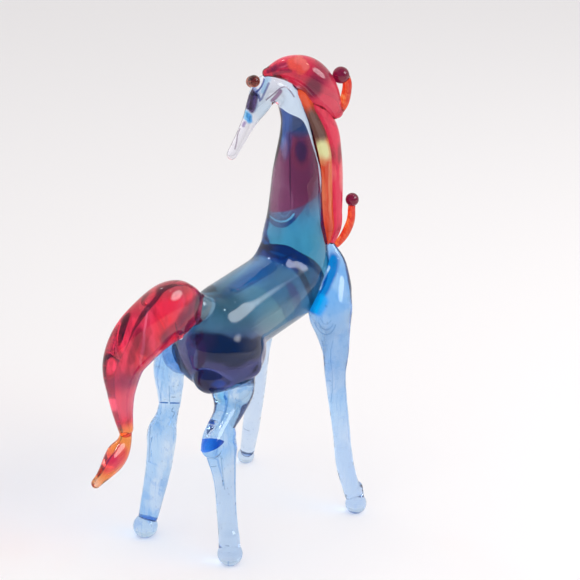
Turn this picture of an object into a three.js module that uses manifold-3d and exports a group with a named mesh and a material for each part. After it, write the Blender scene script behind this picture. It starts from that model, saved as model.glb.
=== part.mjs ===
// A flameworked glass horse that stands on four legs and looks back over its left shoulder.
// It is drawn from solid rods of glass in a flame, and every rod, gather and bead is a mesh of its own.
// Millimetres. +X runs from rump to chest, +Y to the horse's left, +Z up. The hooves stand on z = 0,
// under the middle of the bounding box.
import * as THREE from "three";
import { mergeVertices } from "three/addons/utils/BufferGeometryUtils.js";
import Module from "manifold-3d";

const wasm = await Module();
wasm.setup();

// Welds and walls.
const weldGap = 0.3; // clearance where one glass meets the next
const weldSink = 0.5; // how far a rod laid along another one melts into it
const casingWall = 1.4; // clear glass over the coloured cores
const soleCut = 0.35; // how much of each hoof bead is pressed flat
const facetTolerance = 0.03; // facets that stand off by less are merged

// Trunk.
const barrelLength = 20; // chest dome centre to croup centre
const barrelDiameter = 16.6;
const barrelHeight = 49.2; // axis over the table, half way along
const barrelPitch = 9.5; // degrees by which the chest rises over the croup
const haunchDiameter = 19.5;
const haunchDrop = 4.3; // croup centre down to haunch centre
const haunchSetback = 2.9; // and backwards
const gatherWall = 2.85; // clear glass over the core at the haunches

// Neck.
const neckLength = 41; // from inside the chest to the poll
const neckSetForward = 2.5; // neck root in front of the chest dome centre
const neckRootDiameter = 16;
const throatDiameter = 11.2;
const pollDiameter = 5.1;
const neckBow = 2.4; // how far the neck bulges forward
const neckDrift = 2; // how far the poll lies to the left

// Head.
const headTurn = 137; // degrees to the left of straight ahead
const headTilt = 15; // degrees by which the right eye lies lower than the left one
const facePitch = 62; // degrees below level
const foreheadReach = 4; // poll to forehead
const faceLength = 16.2; // forehead to muzzle
const cheekDiameter = 5.9;
const noseDiameter = 2.9;
const muzzleDiameter = 2.4;
const eyeDiameter = 2.6;
const eyeSpacing = 3.5;
const stripeDiameter = 1.8;

// Mane.
const crestTurn = -41.3; // degrees to the left of straight ahead, so it hangs on the right
const maneRise = 6.4; // neck root up to the end of the mane
const forelockDiameter = 7.2;
const outerLockDiameter = 3.2;
const innerLockDiameter = 3.3;
const lockSpread = 1.6; // width of a lock round the neck over its thickness
const upperCurlDiameter = 2.2;
const upperBeadDiameter = 3.6;
const lowerCurlDiameter = 1.9;
const lowerBeadDiameter = 2.9;

// Tail.
const collarDiameter = 6;
const collarLength = 6;
const tailReach = 30; // root back to the tip
const tailDrop = 30; // root down to the tip
const tailSwing = 7; // to the left
const tailWidth = 12.1;
const tailThickness = 8;
const tailTipDiameter = 4.5;
const tipSpread = 0.8; // thickness of the tip over its width

// Forelegs.
const shoulderDiameter = 9.6;
const kneeDiameter = 3.9;
const rightForeSplay = 17.5; // hoof to the middle plane
const leftForeSplay = 18;
const leftForeStep = 4.3; // how far the left forefoot stands ahead of the right one
const rightForeHoofDiameter = 4.7;
const leftForeHoofDiameter = 3.9;

// Hind legs.
const wheelbase = 35.6; // right forefoot to right hind foot
const thighDiameter = 9.2;
const hockDiameter = 6.8;
const cannonDiameter = 4.4;
const rightHindSplay = 11.5;
const leftHindSplay = 10.8;
const leftHindStep = 2; // how far the left hind foot stands behind the right one
const rightWeldHeight = 26.5; // thigh to cannon, at the right hock
const leftWeldHeight = 29; // and above the left hock
const hindHoofDiameter = 5.3;

const point = (x, y, z) => new THREE.Vector3(x, y, z);
const up = point(0, 0, 1);
const left = point(0, 1, 0);
const heading = (degrees) => {
  const angle = THREE.MathUtils.degToRad(degrees);
  return point(Math.cos(angle), Math.sin(angle), 0);
};
const from = (start, ...moves) => moves.reduce(
  (place, [direction, distance]) => place.addScaledVector(direction, distance), start.clone(),
);

// The centre line and the half thickness of a rod whose stations are [centre, diameter].
function courseOf(stations) {
  const line = new THREE.CatmullRomCurve3(stations.map(([centre]) => centre));
  const girth = new THREE.CatmullRomCurve3(
    stations.map(([, diameter], i) => point(i, diameter / 2, 0)), false, "catmullrom",
  );
  return (t) => ({
    centre: line.getPoint(t),
    tangent: line.getTangent(t),
    radius: girth.getPoint(t).y,
  });
}

// A drawn rod with domed ends: a turned blank bent along its course.
// spread is the section's width along the direction across, over its width square to that.
function rod(stations, { across = left, spread = 1, sides = 12, steps = 3, domes = 3 } = {}, swell = 0) {
  const course = courseOf(stations);
  const count = steps * (stations.length - 1);
  const shaft = Array.from({ length: count + 1 }, (_, i) => {
    const { centre, tangent, radius } = course(i / count);
    return { centre, tangent, radius: radius + swell };
  });
  const dome = ({ centre, tangent, radius }, outward) => Array.from({ length: domes }, (_, i) => {
    const angle = (Math.PI / 2) * (1 - i / domes);
    return {
      centre: from(centre, [tangent, outward * radius * Math.sin(angle)]),
      tangent,
      radius: i === 0 ? 0 : radius * Math.cos(angle),
    };
  });
  const rings = [...dome(shaft[0], -1), ...shaft, ...dome(shaft[count], 1).reverse()];
  const blank = new THREE.LatheGeometry(rings.map(({ radius }, i) => new THREE.Vector2(radius, i)), sides);
  const corners = blank.getAttribute("position");
  for (let i = 0; i < corners.count; i++) {
    const { centre, tangent } = rings[Math.round(corners.getY(i))];
    const side = across.clone().projectOnPlane(tangent).normalize();
    const rise = side.clone().cross(tangent);
    const corner = from(centre, [side, corners.getX(i) * spread], [rise, corners.getZ(i)]);
    corners.setXYZ(i, corner.x, corner.y, corner.z);
  }
  return solidOf(blank);
}

function bead(centre, diameter, swell = 0) {
  const sides = 14;
  const ball = new THREE.SphereGeometry(diameter / 2 + swell, sides, sides / 2);
  return solidOf(ball.rotateX(Math.PI / 2).translate(centre.x, centre.y, centre.z));
}

// A closed geometry as a solid that can be cut.
function solidOf(geometry) {
  geometry.deleteAttribute("normal");
  geometry.deleteAttribute("uv");
  const merged = mergeVertices(geometry);
  const triangles = [];
  for (let i = 0; i < merged.index.count; i += 3) {
    const [a, b, c] = merged.index.array.slice(i, i + 3);
    if (a !== b && b !== c && c !== a) triangles.push(a, b, c);
  }
  return new wasm.Manifold(new wasm.Mesh({
    numProp: 3,
    vertProperties: merged.getAttribute("position").array,
    triVerts: new Uint32Array(triangles),
  }));
}

// Each piece is kept whole, with the cutter that makes room for it in what is welded to it.
const rodPiece = (stations, form) => ({
  whole: rod(stations, form),
  cutter: rod(stations, form, weldGap),
});
const beadPiece = (centre, diameter) => ({
  whole: bead(centre, diameter),
  cutter: bead(centre, diameter, weldGap),
});
// The root that a rod leaves on the far side of its neighbour is melted away.
const fitted = (piece, ...neighbours) => {
  const cut = neighbours.reduce((solid, neighbour) => solid.subtract(neighbour.cutter), piece.whole);
  return cut.decompose().reduce((main, rest) => (rest.volume() > main.volume() ? rest : main));
};

// Trunk: a clear casing round a dark core, which runs out of the casing's back into the haunches.
const barrelLine = point(1, 0, 0).applyAxisAngle(left, -THREE.MathUtils.degToRad(barrelPitch));
const barrelMiddle = point(-barrelLength / 2, 0, barrelHeight);
const chest = from(barrelMiddle, [barrelLine, barrelLength / 2]);
const croup = from(barrelMiddle, [barrelLine, -barrelLength / 2]);
const haunch = from(croup, [up, -haunchDrop], [point(-1, 0, 0), haunchSetback]);
const trunkForm = { sides: 20, steps: 2, domes: 4 };
const coreDiameter = barrelDiameter - 2 * casingWall;

const barrel = rodPiece([[croup, barrelDiameter], [chest, barrelDiameter]], trunkForm);
const core = rodPiece([
  [haunch, haunchDiameter - 2 * gatherWall],
  [croup, coreDiameter],
  [barrelMiddle, coreDiameter],
  [chest, coreDiameter],
], trunkForm);
const haunches = rodPiece([
  [croup, barrelDiameter],
  [croup.clone().lerp(haunch, 0.5), (barrelDiameter + haunchDiameter) / 2],
  [haunch, haunchDiameter],
], trunkForm);

// Neck: each station is [share of the length, share of the bow, share of the drift, diameter].
const neckRoot = from(chest, [point(1, 0, 0), neckSetForward]);
const neckRows = [
  [0, 0, 0, neckRootDiameter],
  [0.2, 0.1, 0.15, neckRootDiameter * 0.9],
  [0.34, 0.35, 0.25, (neckRootDiameter + throatDiameter) * 0.45],
  [0.47, 0.6, 0.35, throatDiameter],
  [0.6, 0.85, 0.45, throatDiameter * 0.92],
  [0.81, 0.85, 0.6, (throatDiameter + pollDiameter) * 0.42],
  [0.91, 0.4, 0.7, pollDiameter * 1.08],
  [1, -0.15, 1, pollDiameter],
];
const neckStations = neckRows.map(([length, bow, drift, diameter]) => [
  from(neckRoot, [up, neckLength * length], [point(1, 0, 0), neckBow * bow], [left, neckDrift * drift]),
  diameter,
]);
const poll = neckStations.at(-1)[0];
const neckForm = { sides: 18, steps: 2, domes: 3 };
const neck = rodPiece(neckStations, neckForm);
const neckCore = rodPiece(neckStations.slice(0, -1).map(
  ([centre, diameter]) => [centre, Math.max(diameter - 2 * casingWall, diameter * 0.45)],
), neckForm);

// Head: it hangs from the poll and narrows to the muzzle, with the eyes set high on the brow.
const faceHeading = heading(headTurn);
const faceLine = from(
  point(0, 0, 0),
  [faceHeading, Math.cos(THREE.MathUtils.degToRad(facePitch))],
  [up, -Math.sin(THREE.MathUtils.degToRad(facePitch))],
);
const faceAcross = faceHeading.clone().cross(up);
const browLine = faceLine.clone().cross(faceAcross).negate();
const forehead = from(poll, [faceHeading, foreheadReach], [up, cheekDiameter * 0.22]);
const onFace = (share) => from(forehead, [faceLine, faceLength * share]);
const head = rodPiece([
  [from(poll, [faceHeading, foreheadReach * 0.2], [up, cheekDiameter * 0.08]), cheekDiameter * 0.93],
  [forehead, cheekDiameter],
  [onFace(0.22), cheekDiameter * 0.9],
  [onFace(0.5), noseDiameter * 1.12],
  [onFace(0.8), noseDiameter * 0.88],
  [onFace(1), muzzleDiameter],
], { across: faceAcross, sides: 14 });
const eyeLine = faceAcross.clone().applyAxisAngle(faceHeading, THREE.MathUtils.degToRad(headTilt));
const eyeOn = (side) => beadPiece(
  from(onFace(0.03), [browLine, cheekDiameter * 0.54], [eyeLine, side * eyeSpacing / 2]), eyeDiameter,
);
const leftEye = eyeOn(-1);
const rightEye = eyeOn(1);
const onCheek = (share, diameter, girth) => [
  from(onFace(share), [faceAcross, -girth * 0.27], [browLine, girth * 0.21]), diameter,
];
const stripe = rodPiece([
  onCheek(0.14, stripeDiameter * 0.8, cheekDiameter * 0.95),
  onCheek(0.24, stripeDiameter, cheekDiameter * 0.88),
  onCheek(0.36, stripeDiameter * 0.85, (cheekDiameter + noseDiameter) * 0.45),
  onCheek(0.5, stripeDiameter * 0.45, noseDiameter * 1.12),
], { across: faceAcross, sides: 10, steps: 2 });

// Mane: a forelock bends over the poll, and two locks lie one on the other down the crest.
const crestHeading = heading(crestTurn);
const crestAcross = crestHeading.clone().cross(up);
const neckCourse = courseOf(neckStations);
const overPoll = (out, rise, diameter) => [
  from(poll, [crestHeading, forelockDiameter * out], [up, forelockDiameter * rise]),
  diameter,
];
const forelock = rodPiece([
  overPoll(-0.55, 0.62, forelockDiameter * 0.3),
  overPoll(0, 0.72, forelockDiameter * 0.73),
  overPoll(0.6, 0.56, forelockDiameter),
  overPoll(1.09, -0.01, forelockDiameter * 0.86),
  overPoll(1.5, -0.62, forelockDiameter * 0.42),
], { across: crestAcross, spread: 1.1, sides: 16 });
const upperBead = beadPiece(overPoll(1.63, 0.47)[0], upperBeadDiameter);
const upperCurl = rodPiece([
  overPoll(1.45, -0.7, upperCurlDiameter),
  overPoll(1.7, -0.42, upperCurlDiameter),
  overPoll(1.8, -0.06, upperCurlDiameter * 0.95),
  overPoll(1.82, 0.26, upperCurlDiameter * 0.9),
  overPoll(1.73, 0.5, upperCurlDiameter * 0.8),
], { across: crestAcross, sides: 10 });

// A lock's station lies on the neck's crest, or on what is already laid there.
const maneLength = neckLength - maneRise;
function onCrest(share, lift, diameter) {
  const height = poll.z - maneLength * share;
  const reach = (height - neckRoot.z) / neckLength;
  const rows = neckRows.map(([length]) => length);
  const next = Math.max(1, rows.findIndex((length) => length >= reach));
  const place = (next - 1 + (reach - rows[next - 1]) / (rows[next] - rows[next - 1])) / (rows.length - 1);
  const { centre, radius } = neckCourse(THREE.MathUtils.clamp(place, 0, 1));
  const out = radius + lift + diameter / 2 - weldSink;
  return [from(centre, [crestHeading, out]).setZ(height), diameter];
}
const lockForm = { across: crestAcross, spread: lockSpread, sides: 12, steps: 2 };
const lockShares = [0.09, 0.25, 0.4, 0.57, 0.75, 0.86, 0.96];
const innerDiameters = [0.6, 1, 0.97, 0.85, 0.85, 0.8, 0.4].map((share) => innerLockDiameter * share);
const outerDiameters = [1, 1, 0.86, 0.88, 0.78, 0.65, 0.44].map((share) => outerLockDiameter * share);
const innerLock = rodPiece(lockShares.map((share, i) => onCrest(share, 0, innerDiameters[i])), lockForm);
const outerStations = lockShares.map(
  (share, i) => onCrest(share, innerDiameters[i] - weldSink, outerDiameters[i]),
);
const outerLock = rodPiece(outerStations, lockForm);
const curlRoot = outerStations.at(-2)[0];
const offTip = (out, rise, diameter) => [
  from(curlRoot, [crestHeading, lowerCurlDiameter * out], [up, lowerCurlDiameter * rise]),
  diameter,
];
const lowerCurl = rodPiece([
  offTip(0.04, -2.2, lowerCurlDiameter * 0.8),
  offTip(0.69, -1.47, lowerCurlDiameter * 0.9),
  offTip(1.19, -0.61, lowerCurlDiameter),
  offTip(1.64, 0.67, lowerCurlDiameter * 0.95),
  offTip(1.71, 2.24, lowerCurlDiameter * 0.85),
  offTip(1.75, 2.8, lowerCurlDiameter * 0.8),
], { across: crestAcross, sides: 10 });
const lowerBead = beadPiece(offTip(1.76, 3.03)[0], lowerBeadDiameter);

// Tail: a clear collar on the croup carries a pressed plume, and its tip is drawn out and flicked back.
const tailRoot = from(croup, [point(-1, 0, 0), barrelDiameter * 0.25], [up, barrelDiameter * 0.14]);
const onTail = (reach, drop, swing, diameter) => [
  from(tailRoot, [point(-1, 0, 0), tailReach * reach], [up, -tailDrop * drop], [left, tailSwing * swing]),
  diameter,
];
const collarLine = point(-1, 0, 0.65).normalize();
const collar = rodPiece([
  [tailRoot, collarDiameter],
  [from(tailRoot, [collarLine, collarLength]), collarDiameter * 0.85],
], { sides: 14 });
const plume = rodPiece([
  onTail(0.2, -0.13, 0, tailWidth * 0.42),
  onTail(0.283, -0.147, 0.04, tailWidth * 0.7),
  onTail(0.41, -0.15, 0.17, tailWidth),
  onTail(0.577, 0.003, 0.54, tailWidth),
  onTail(0.69, 0.167, 0.79, tailWidth * 0.88),
  onTail(0.71, 0.377, 0.93, tailWidth * 0.6),
  onTail(0.69, 0.547, 1, tailWidth * 0.42),
  onTail(0.667, 0.687, 1, tailWidth * 0.28),
], { spread: tailThickness / tailWidth, sides: 16, steps: 2 });
const tailTip = rodPiece([
  onTail(0.667, 0.7, 1, tailTipDiameter * 0.56),
  onTail(0.683, 0.767, 1, tailTipDiameter * 0.6),
  onTail(0.747, 0.843, 1, tailTipDiameter * 0.8),
  onTail(0.837, 0.907, 1, tailTipDiameter),
  onTail(0.907, 0.95, 1, tailTipDiameter * 0.78),
  onTail(0.997, 1, 1, tailTipDiameter * 0.25),
], { spread: tipSpread, sides: 12, steps: 2 });

// Legs: each is drawn from the trunk to a bead that is pressed flat on the table.
const onTable = (x, y, diameter) => point(x, y, diameter / 2 - soleCut);
const rightForeHoof = onTable(neckRoot.x, -rightForeSplay, rightForeHoofDiameter);
const leftForeHoof = onTable(rightForeHoof.x + leftForeStep, leftForeSplay, leftForeHoofDiameter);
const rightHindHoof = onTable(rightForeHoof.x - wheelbase, -rightHindSplay, hindHoofDiameter);
const leftHindHoof = onTable(rightHindHoof.x - leftHindStep, leftHindSplay, hindHoofDiameter);

// Stations on the way from one joint to the next: [share of the way, share of the bow, diameter].
const between = (start, end, bow, rows) => rows.map(([share, bend, diameter]) => [
  from(start.clone().lerp(end, share), [bow, bend]), diameter,
]);

// The forelegs start as a smear of glass up the breast.
const shoulder = (side, width) => from(
  chest,
  [point(1, 0, 0), barrelDiameter * 0.2],
  [left, side * (barrelDiameter * 0.29 + width * 0.47)],
  [up, -barrelDiameter * 0.33],
);
const rightShoulder = shoulder(-1, shoulderDiameter);
const onBreast = (start, side, forward, inward, rise, diameter) => [
  from(
    start,
    [point(1, 0, 0), shoulderDiameter * forward],
    [left, -side * shoulderDiameter * inward],
    [up, shoulderDiameter * rise],
  ),
  diameter,
];
const rightForeleg = rodPiece([
  onBreast(rightShoulder, -1, 0.52, 0.39, 1.3, shoulderDiameter * 0.2),
  onBreast(rightShoulder, -1, 0.52, 0.26, 0.97, shoulderDiameter * 0.44),
  onBreast(rightShoulder, -1, 0.27, 0.1, 0.56, shoulderDiameter * 0.77),
  ...between(rightShoulder, rightForeHoof, point(-kneeDiameter / 2, 0, 0), [
    [0, 0, shoulderDiameter],
    [0.12, 0, shoulderDiameter * 0.77],
    [0.21, 0, (shoulderDiameter + kneeDiameter) * 0.43],
    [0.32, 0.6, kneeDiameter * 1.18],
    [0.6, 0.85, kneeDiameter * 0.98],
    [0.78, 1, kneeDiameter],
    [0.94, 0.3, kneeDiameter * 0.98],
  ]),
], { steps: 2 });
const leftShoulder = shoulder(1, shoulderDiameter * 0.8);
const leftForeleg = rodPiece([
  onBreast(leftShoulder, 1, 0.15, 0.3, 0.9, shoulderDiameter * 0.3),
  onBreast(leftShoulder, 1, 0.1, 0.1, 0.5, shoulderDiameter * 0.6),
  ...between(leftShoulder, leftForeHoof, point(-kneeDiameter / 2, -kneeDiameter / 2, 0), [
    [0, 0, shoulderDiameter * 0.8],
    [0.14, 0.4, shoulderDiameter * 0.62],
    [0.3, 0.8, kneeDiameter * 1.05],
    [0.55, 1, kneeDiameter * 1.05],
    [0.8, 0.8, kneeDiameter],
    [0.95, 0.5, kneeDiameter * 0.85],
  ]),
], { steps: 2 });

// The right thigh slants back to a weld at the hock. The left one drops to a weld above the hock.
const rightHip = from(haunch, [left, -haunchDiameter * 0.2], [up, -haunchDiameter * 0.3]);
const rightWeld = point(
  rightHindHoof.x - hockDiameter * 0.26, rightHindHoof.y + hockDiameter * 0.47, rightWeldHeight,
);
const rightThigh = rodPiece(between(rightHip, rightWeld, point(0, 0, -thighDiameter / 5), [
  [0, 0, thighDiameter],
  [0.17, 0.7, thighDiameter],
  [0.34, 1, thighDiameter * 0.8],
  [0.52, 0.95, thighDiameter * 0.72],
  [0.7, 0.35, thighDiameter * 0.63],
  [0.89, 0, thighDiameter * 0.6],
  [1, 0, thighDiameter * 0.52],
]), { sides: 14, steps: 2 });
const rightHock = from(rightWeld, [point(1, 0, 0), hockDiameter * 0.53], [up, hockDiameter * 0.15]);
const rightCannon = rodPiece(between(rightHock, rightHindHoof, point(-hockDiameter / 8, 0, 0), [
  [0, 0, hockDiameter * 0.8],
  [0.1, 1, hockDiameter],
  [0.17, 1, hockDiameter * 0.92],
  [0.29, 0.55, (hockDiameter + cannonDiameter) * 0.47],
  [0.41, 0.33, cannonDiameter * 1.04],
  [0.61, 0.33, cannonDiameter * 0.96],
  [0.93, 0, cannonDiameter],
]), { steps: 2 });

const leftHip = from(haunch, [point(-1, 0, 0), haunchDiameter * 0.17], [left, haunchDiameter * 0.28]);
const leftWeld = point(
  leftHindHoof.x + hockDiameter * 0.82, leftHindHoof.y - hockDiameter * 0.37, leftWeldHeight,
);
const leftThigh = rodPiece(between(leftHip, leftWeld, point(-thighDiameter * 0.4, thighDiameter / 18, 0), [
  [0, 0, thighDiameter * 0.8],
  [0.22, 1, thighDiameter * 0.74],
  [0.43, 0.8, thighDiameter * 0.7],
  [0.7, 0.36, thighDiameter * 0.6],
  [0.95, 0, thighDiameter * 0.5],
]), { sides: 14, steps: 2 });
const leftCannon = rodPiece(between(leftWeld, leftHindHoof, point(-hockDiameter / 11, 0, 0), [
  [-0.02, 0, thighDiameter * 0.48],
  [0.08, 0, thighDiameter * 0.5],
  [0.14, 0.7, hockDiameter * 0.82],
  [0.2, 1, hockDiameter * 0.92],
  [0.27, 0.5, hockDiameter * 0.92],
  [0.33, 0, hockDiameter * 0.88],
  [0.47, -0.8, (hockDiameter + cannonDiameter) / 2],
  [0.62, -1, cannonDiameter * 1.18],
  [0.76, -0.8, cannonDiameter * 1.08],
  [0.92, -0.6, cannonDiameter * 0.96],
]), { steps: 2 });

const tableSide = 4 * wheelbase;
const table = solidOf(
  new THREE.BoxGeometry(tableSide, tableSide, tableSide).translate(rightForeHoof.x, 0, -tableSide / 2),
);
const hoof = (centre, diameter) => {
  const piece = beadPiece(centre, diameter);
  return { whole: piece.whole.subtract(table), cutter: piece.cutter };
};
const hooves = {
  rightFore: hoof(rightForeHoof, rightForeHoofDiameter),
  leftFore: hoof(leftForeHoof, leftForeHoofDiameter),
  rightHind: hoof(rightHindHoof, hindHoofDiameter),
  leftHind: hoof(leftHindHoof, hindHoofDiameter),
};

// Glasses, seen as solid colours.
const glass = (colour) => new THREE.MeshStandardMaterial({
  color: colour, roughness: 0.05, metalness: 0, transparent: true, opacity: 0.8,
});
const sky = glass(0xa9cdec);
const teal = glass(0x3f7f92);
const navy = glass(0x12285c);
const plum = glass(0x54284d);
const violet = glass(0x5a5a94);
const ruby = glass(0xd82a48);
const orange = glass(0xf0582a);
const amber = glass(0xd8742c);
const garnet = glass(0x4a0a20);
const hazel = glass(0x5a3326);

const horse = new THREE.Group();
function add(name, solid, material) {
  const { vertProperties, triVerts } = solid.simplify(facetTolerance).getMesh();
  const geometry = new THREE.BufferGeometry();
  geometry.setAttribute("position", new THREE.BufferAttribute(vertProperties, 3));
  geometry.setIndex(new THREE.BufferAttribute(triVerts, 1));
  geometry.computeVertexNormals();
  const mesh = new THREE.Mesh(geometry, material);
  mesh.name = name;
  horse.add(mesh);
}

add("body_casing", fitted(barrel, core), teal);
add("body_core", core.whole, navy);
add("rump_gather", fitted(haunches, barrel, core), violet);

add("neck_casing", fitted(neck, barrel, neckCore), sky);
add("neck_core", fitted(neckCore, barrel), plum);
add("head", fitted(head, neck, leftEye, rightEye, stripe), sky);
add("face_stripe", stripe.whole, plum);
add("left_eye", leftEye.whole, hazel);
add("right_eye", fitted(rightEye, leftEye), hazel);

add("mane_forelock", fitted(forelock, neck, head, leftEye, rightEye), ruby);
add("mane_upper_curl", fitted(upperCurl, forelock, upperBead), orange);
add("mane_upper_bead", upperBead.whole, garnet);
add("mane_inner_lock", fitted(innerLock, neck, forelock, barrel), amber);
add("mane_outer_lock", fitted(outerLock, neck, innerLock, forelock, barrel), ruby);
add("mane_lower_curl", fitted(lowerCurl, outerLock, innerLock, lowerBead), orange);
add("mane_lower_bead", lowerBead.whole, garnet);

add("tail_collar", fitted(collar, barrel, core, haunches), sky);
add("tail_plume", fitted(plume, collar, barrel, haunches), ruby);
add("tail_tip", fitted(tailTip, plume), orange);

add("front_right_leg", fitted(rightForeleg, barrel, neck, innerLock, outerLock, hooves.rightFore), sky);
add("front_left_leg", fitted(leftForeleg, barrel, neck, hooves.leftFore), sky);
add("hind_right_thigh", fitted(rightThigh, haunches, barrel, core), sky);
add("hind_left_thigh", fitted(leftThigh, haunches, barrel, core), sky);
add("hind_right_cannon", fitted(rightCannon, rightThigh, hooves.rightHind), sky);
add("hind_left_cannon", fitted(leftCannon, leftThigh, hooves.leftHind), sky);
add("front_right_hoof", hooves.rightFore.whole, sky);
add("front_left_hoof", hooves.leftFore.whole, sky);
add("hind_right_hoof", hooves.rightHind.whole, sky);
add("hind_left_hoof", hooves.leftHind.whole, sky);

// The origin is on the table, under the middle of the bounding box.
const box = new THREE.Box3().setFromObject(horse, true);
const middle = box.getCenter(point(0, 0, 0));
horse.position.set(-middle.x, -middle.y, 0);

export default horse;
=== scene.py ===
import math

import bmesh
import bpy
import numpy as np
from mathutils import Matrix, Vector


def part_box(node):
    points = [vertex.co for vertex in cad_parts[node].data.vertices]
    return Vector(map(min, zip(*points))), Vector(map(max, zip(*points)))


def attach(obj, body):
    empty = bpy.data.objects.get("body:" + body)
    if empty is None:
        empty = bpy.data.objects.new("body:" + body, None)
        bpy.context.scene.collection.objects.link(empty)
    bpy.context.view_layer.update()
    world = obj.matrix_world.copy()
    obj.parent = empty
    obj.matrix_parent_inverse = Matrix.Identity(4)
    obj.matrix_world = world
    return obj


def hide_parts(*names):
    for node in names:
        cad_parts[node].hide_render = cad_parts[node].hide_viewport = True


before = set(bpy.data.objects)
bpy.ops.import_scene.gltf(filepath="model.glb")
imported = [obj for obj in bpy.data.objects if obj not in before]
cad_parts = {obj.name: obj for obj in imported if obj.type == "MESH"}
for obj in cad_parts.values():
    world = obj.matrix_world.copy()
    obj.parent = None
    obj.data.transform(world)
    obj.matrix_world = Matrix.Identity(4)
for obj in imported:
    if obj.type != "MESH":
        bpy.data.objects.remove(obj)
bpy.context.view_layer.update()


# The horse's own frame.
# Sizes are in millimetres, counted from the spot on the table where the chest stands, +X to the
# chest, +Y to the horse's left, +Z up. The right forefoot fixes that spot in the frame.
MM = 0.001
neck_root_ahead = 2.363
right_fore_splay = 17.5
foot_low, foot_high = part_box("front_right_hoof")
chest_spot = (foot_low + foot_high) / 2 / MM - Vector((neck_root_ahead, -right_fore_splay, 0))
chest_spot.z = 0


def vec(x, y, z):
    return np.array((x, y, z), float)


def placed(point):
    """A point of the horse, in metres in the row frame."""
    return (Vector(point) + chest_spot) * MM


# The camera.
# It stands behind the horse on its right, a little above it, with a long lens.
camera_azimuth = math.radians(-51)
camera_height = math.radians(20)
camera_distance = 400
camera_target = vec(0.863, 0, 48.5)
lens_pixels = 1840
picture_pixels = 580
toward_camera = vec(
    math.sin(camera_azimuth) * math.cos(camera_height),
    -math.cos(camera_azimuth) * math.cos(camera_height),
    math.sin(camera_height),
)
camera_data = bpy.data.cameras.new("camera")
camera_data.sensor_width = 36
camera_data.lens = lens_pixels / picture_pixels * camera_data.sensor_width
camera_data.clip_start = 0.01
camera = bpy.data.objects.new("camera", camera_data)
bpy.context.scene.collection.objects.link(camera)
camera.location = placed(camera_target + camera_distance * toward_camera)
camera.rotation_mode = "QUATERNION"
camera.rotation_quaternion = (-Vector(toward_camera)).to_track_quat("-Z", "Y")
scene = bpy.context.scene
scene.camera = camera
scene.view_settings.view_transform = "Standard"
scene.cycles.max_bounces = 40
scene.cycles.transmission_bounces = 40
scene.cycles.glossy_bounces = 40
scene.cycles.transparent_max_bounces = 60


# The table and the light.
# A pale table runs on into a pale wall. The room is bright in front of the camera and dimmer behind
# it. One large soft lamp stands on the camera's right, and two small ones hang over the horse.
table_side, table_roughness, table_gloss = 6.0, 0.75, 0.1
table_colour = (0.9, 0.872, 0.875)
wall_colour, near_wall_colour = (0.84, 0.815, 0.805), (0.93, 0.91, 0.915)
dim_side = (0.16, 0.28, 0.52)
dim_end, near_wall_end, wall_end = 0.2, 0.6, 0.96
room_light = 0.8
lamp_distance = 0.6


def linked(thing):
    scene.collection.objects.link(thing)
    return thing


def mesh_object(name, corners, faces, smooth=True):
    """A mesh object from corners in metres."""
    mesh = bpy.data.meshes.new(name)
    mesh.from_pydata([tuple(c) for c in corners], [], [tuple(f) for f in faces])
    mesh.validate()
    mesh.update()
    if smooth:
        mesh.shade_smooth()
    return linked(bpy.data.objects.new(name, mesh))


def node_of(tree, kind, fed=None, **settings):
    """A node with its settings. fed gives inputs of it a value, or the socket that feeds them."""
    node = tree.nodes.new(kind)
    for key, value in settings.items():
        setattr(node, key, value)
    for key, value in (fed or {}).items():
        socket = node.inputs[key]
        if isinstance(value, bpy.types.NodeSocket):
            tree.links.new(value, socket)
        elif socket.type == "RGBA":
            socket.default_value = (*value, 1)
        elif socket.type == "VECTOR":
            socket.default_value = tuple(value)
        else:
            socket.default_value = value
    return node


def vector_step(tree, operation, *fed):
    """One step of reckoning with vectors."""
    node = node_of(tree, "ShaderNodeVectorMath", dict(enumerate(fed)), operation=operation)
    return node.outputs["Value" if operation in ("DOT_PRODUCT", "DISTANCE", "LENGTH") else "Vector"]


def number_step(tree, operation, *fed, clamp=False):
    """One step of reckoning with numbers."""
    node = node_of(tree, "ShaderNodeMath", dict(enumerate(fed)), operation=operation, use_clamp=clamp)
    return node.outputs[0]


def eased(tree, value, start, end, first=0, last=1):
    """Runs softly from first to last while value runs from start to end."""
    return node_of(tree, "ShaderNodeMapRange", {
        "Value": value, "From Min": start, "From Max": end, "To Min": first, "To Max": last,
    }, interpolation_type="SMOOTHSTEP").outputs[0]


half = table_side / 2
table = mesh_object(
    "table",
    [(-half, -half, 0), (half, -half, 0), (half, half, 0), (-half, half, 0)],
    [(0, 1, 2, 3)],
    smooth=False,
)
table_finish = bpy.data.materials.new("table_top")
table_finish.use_nodes = True
top = table_finish.node_tree.nodes["Principled BSDF"]
top.inputs["Base Color"].default_value = (*table_colour, 1)
top.inputs["Roughness"].default_value = table_roughness
top.inputs["Specular IOR Level"].default_value = table_gloss
table.data.materials.append(table_finish)

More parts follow.
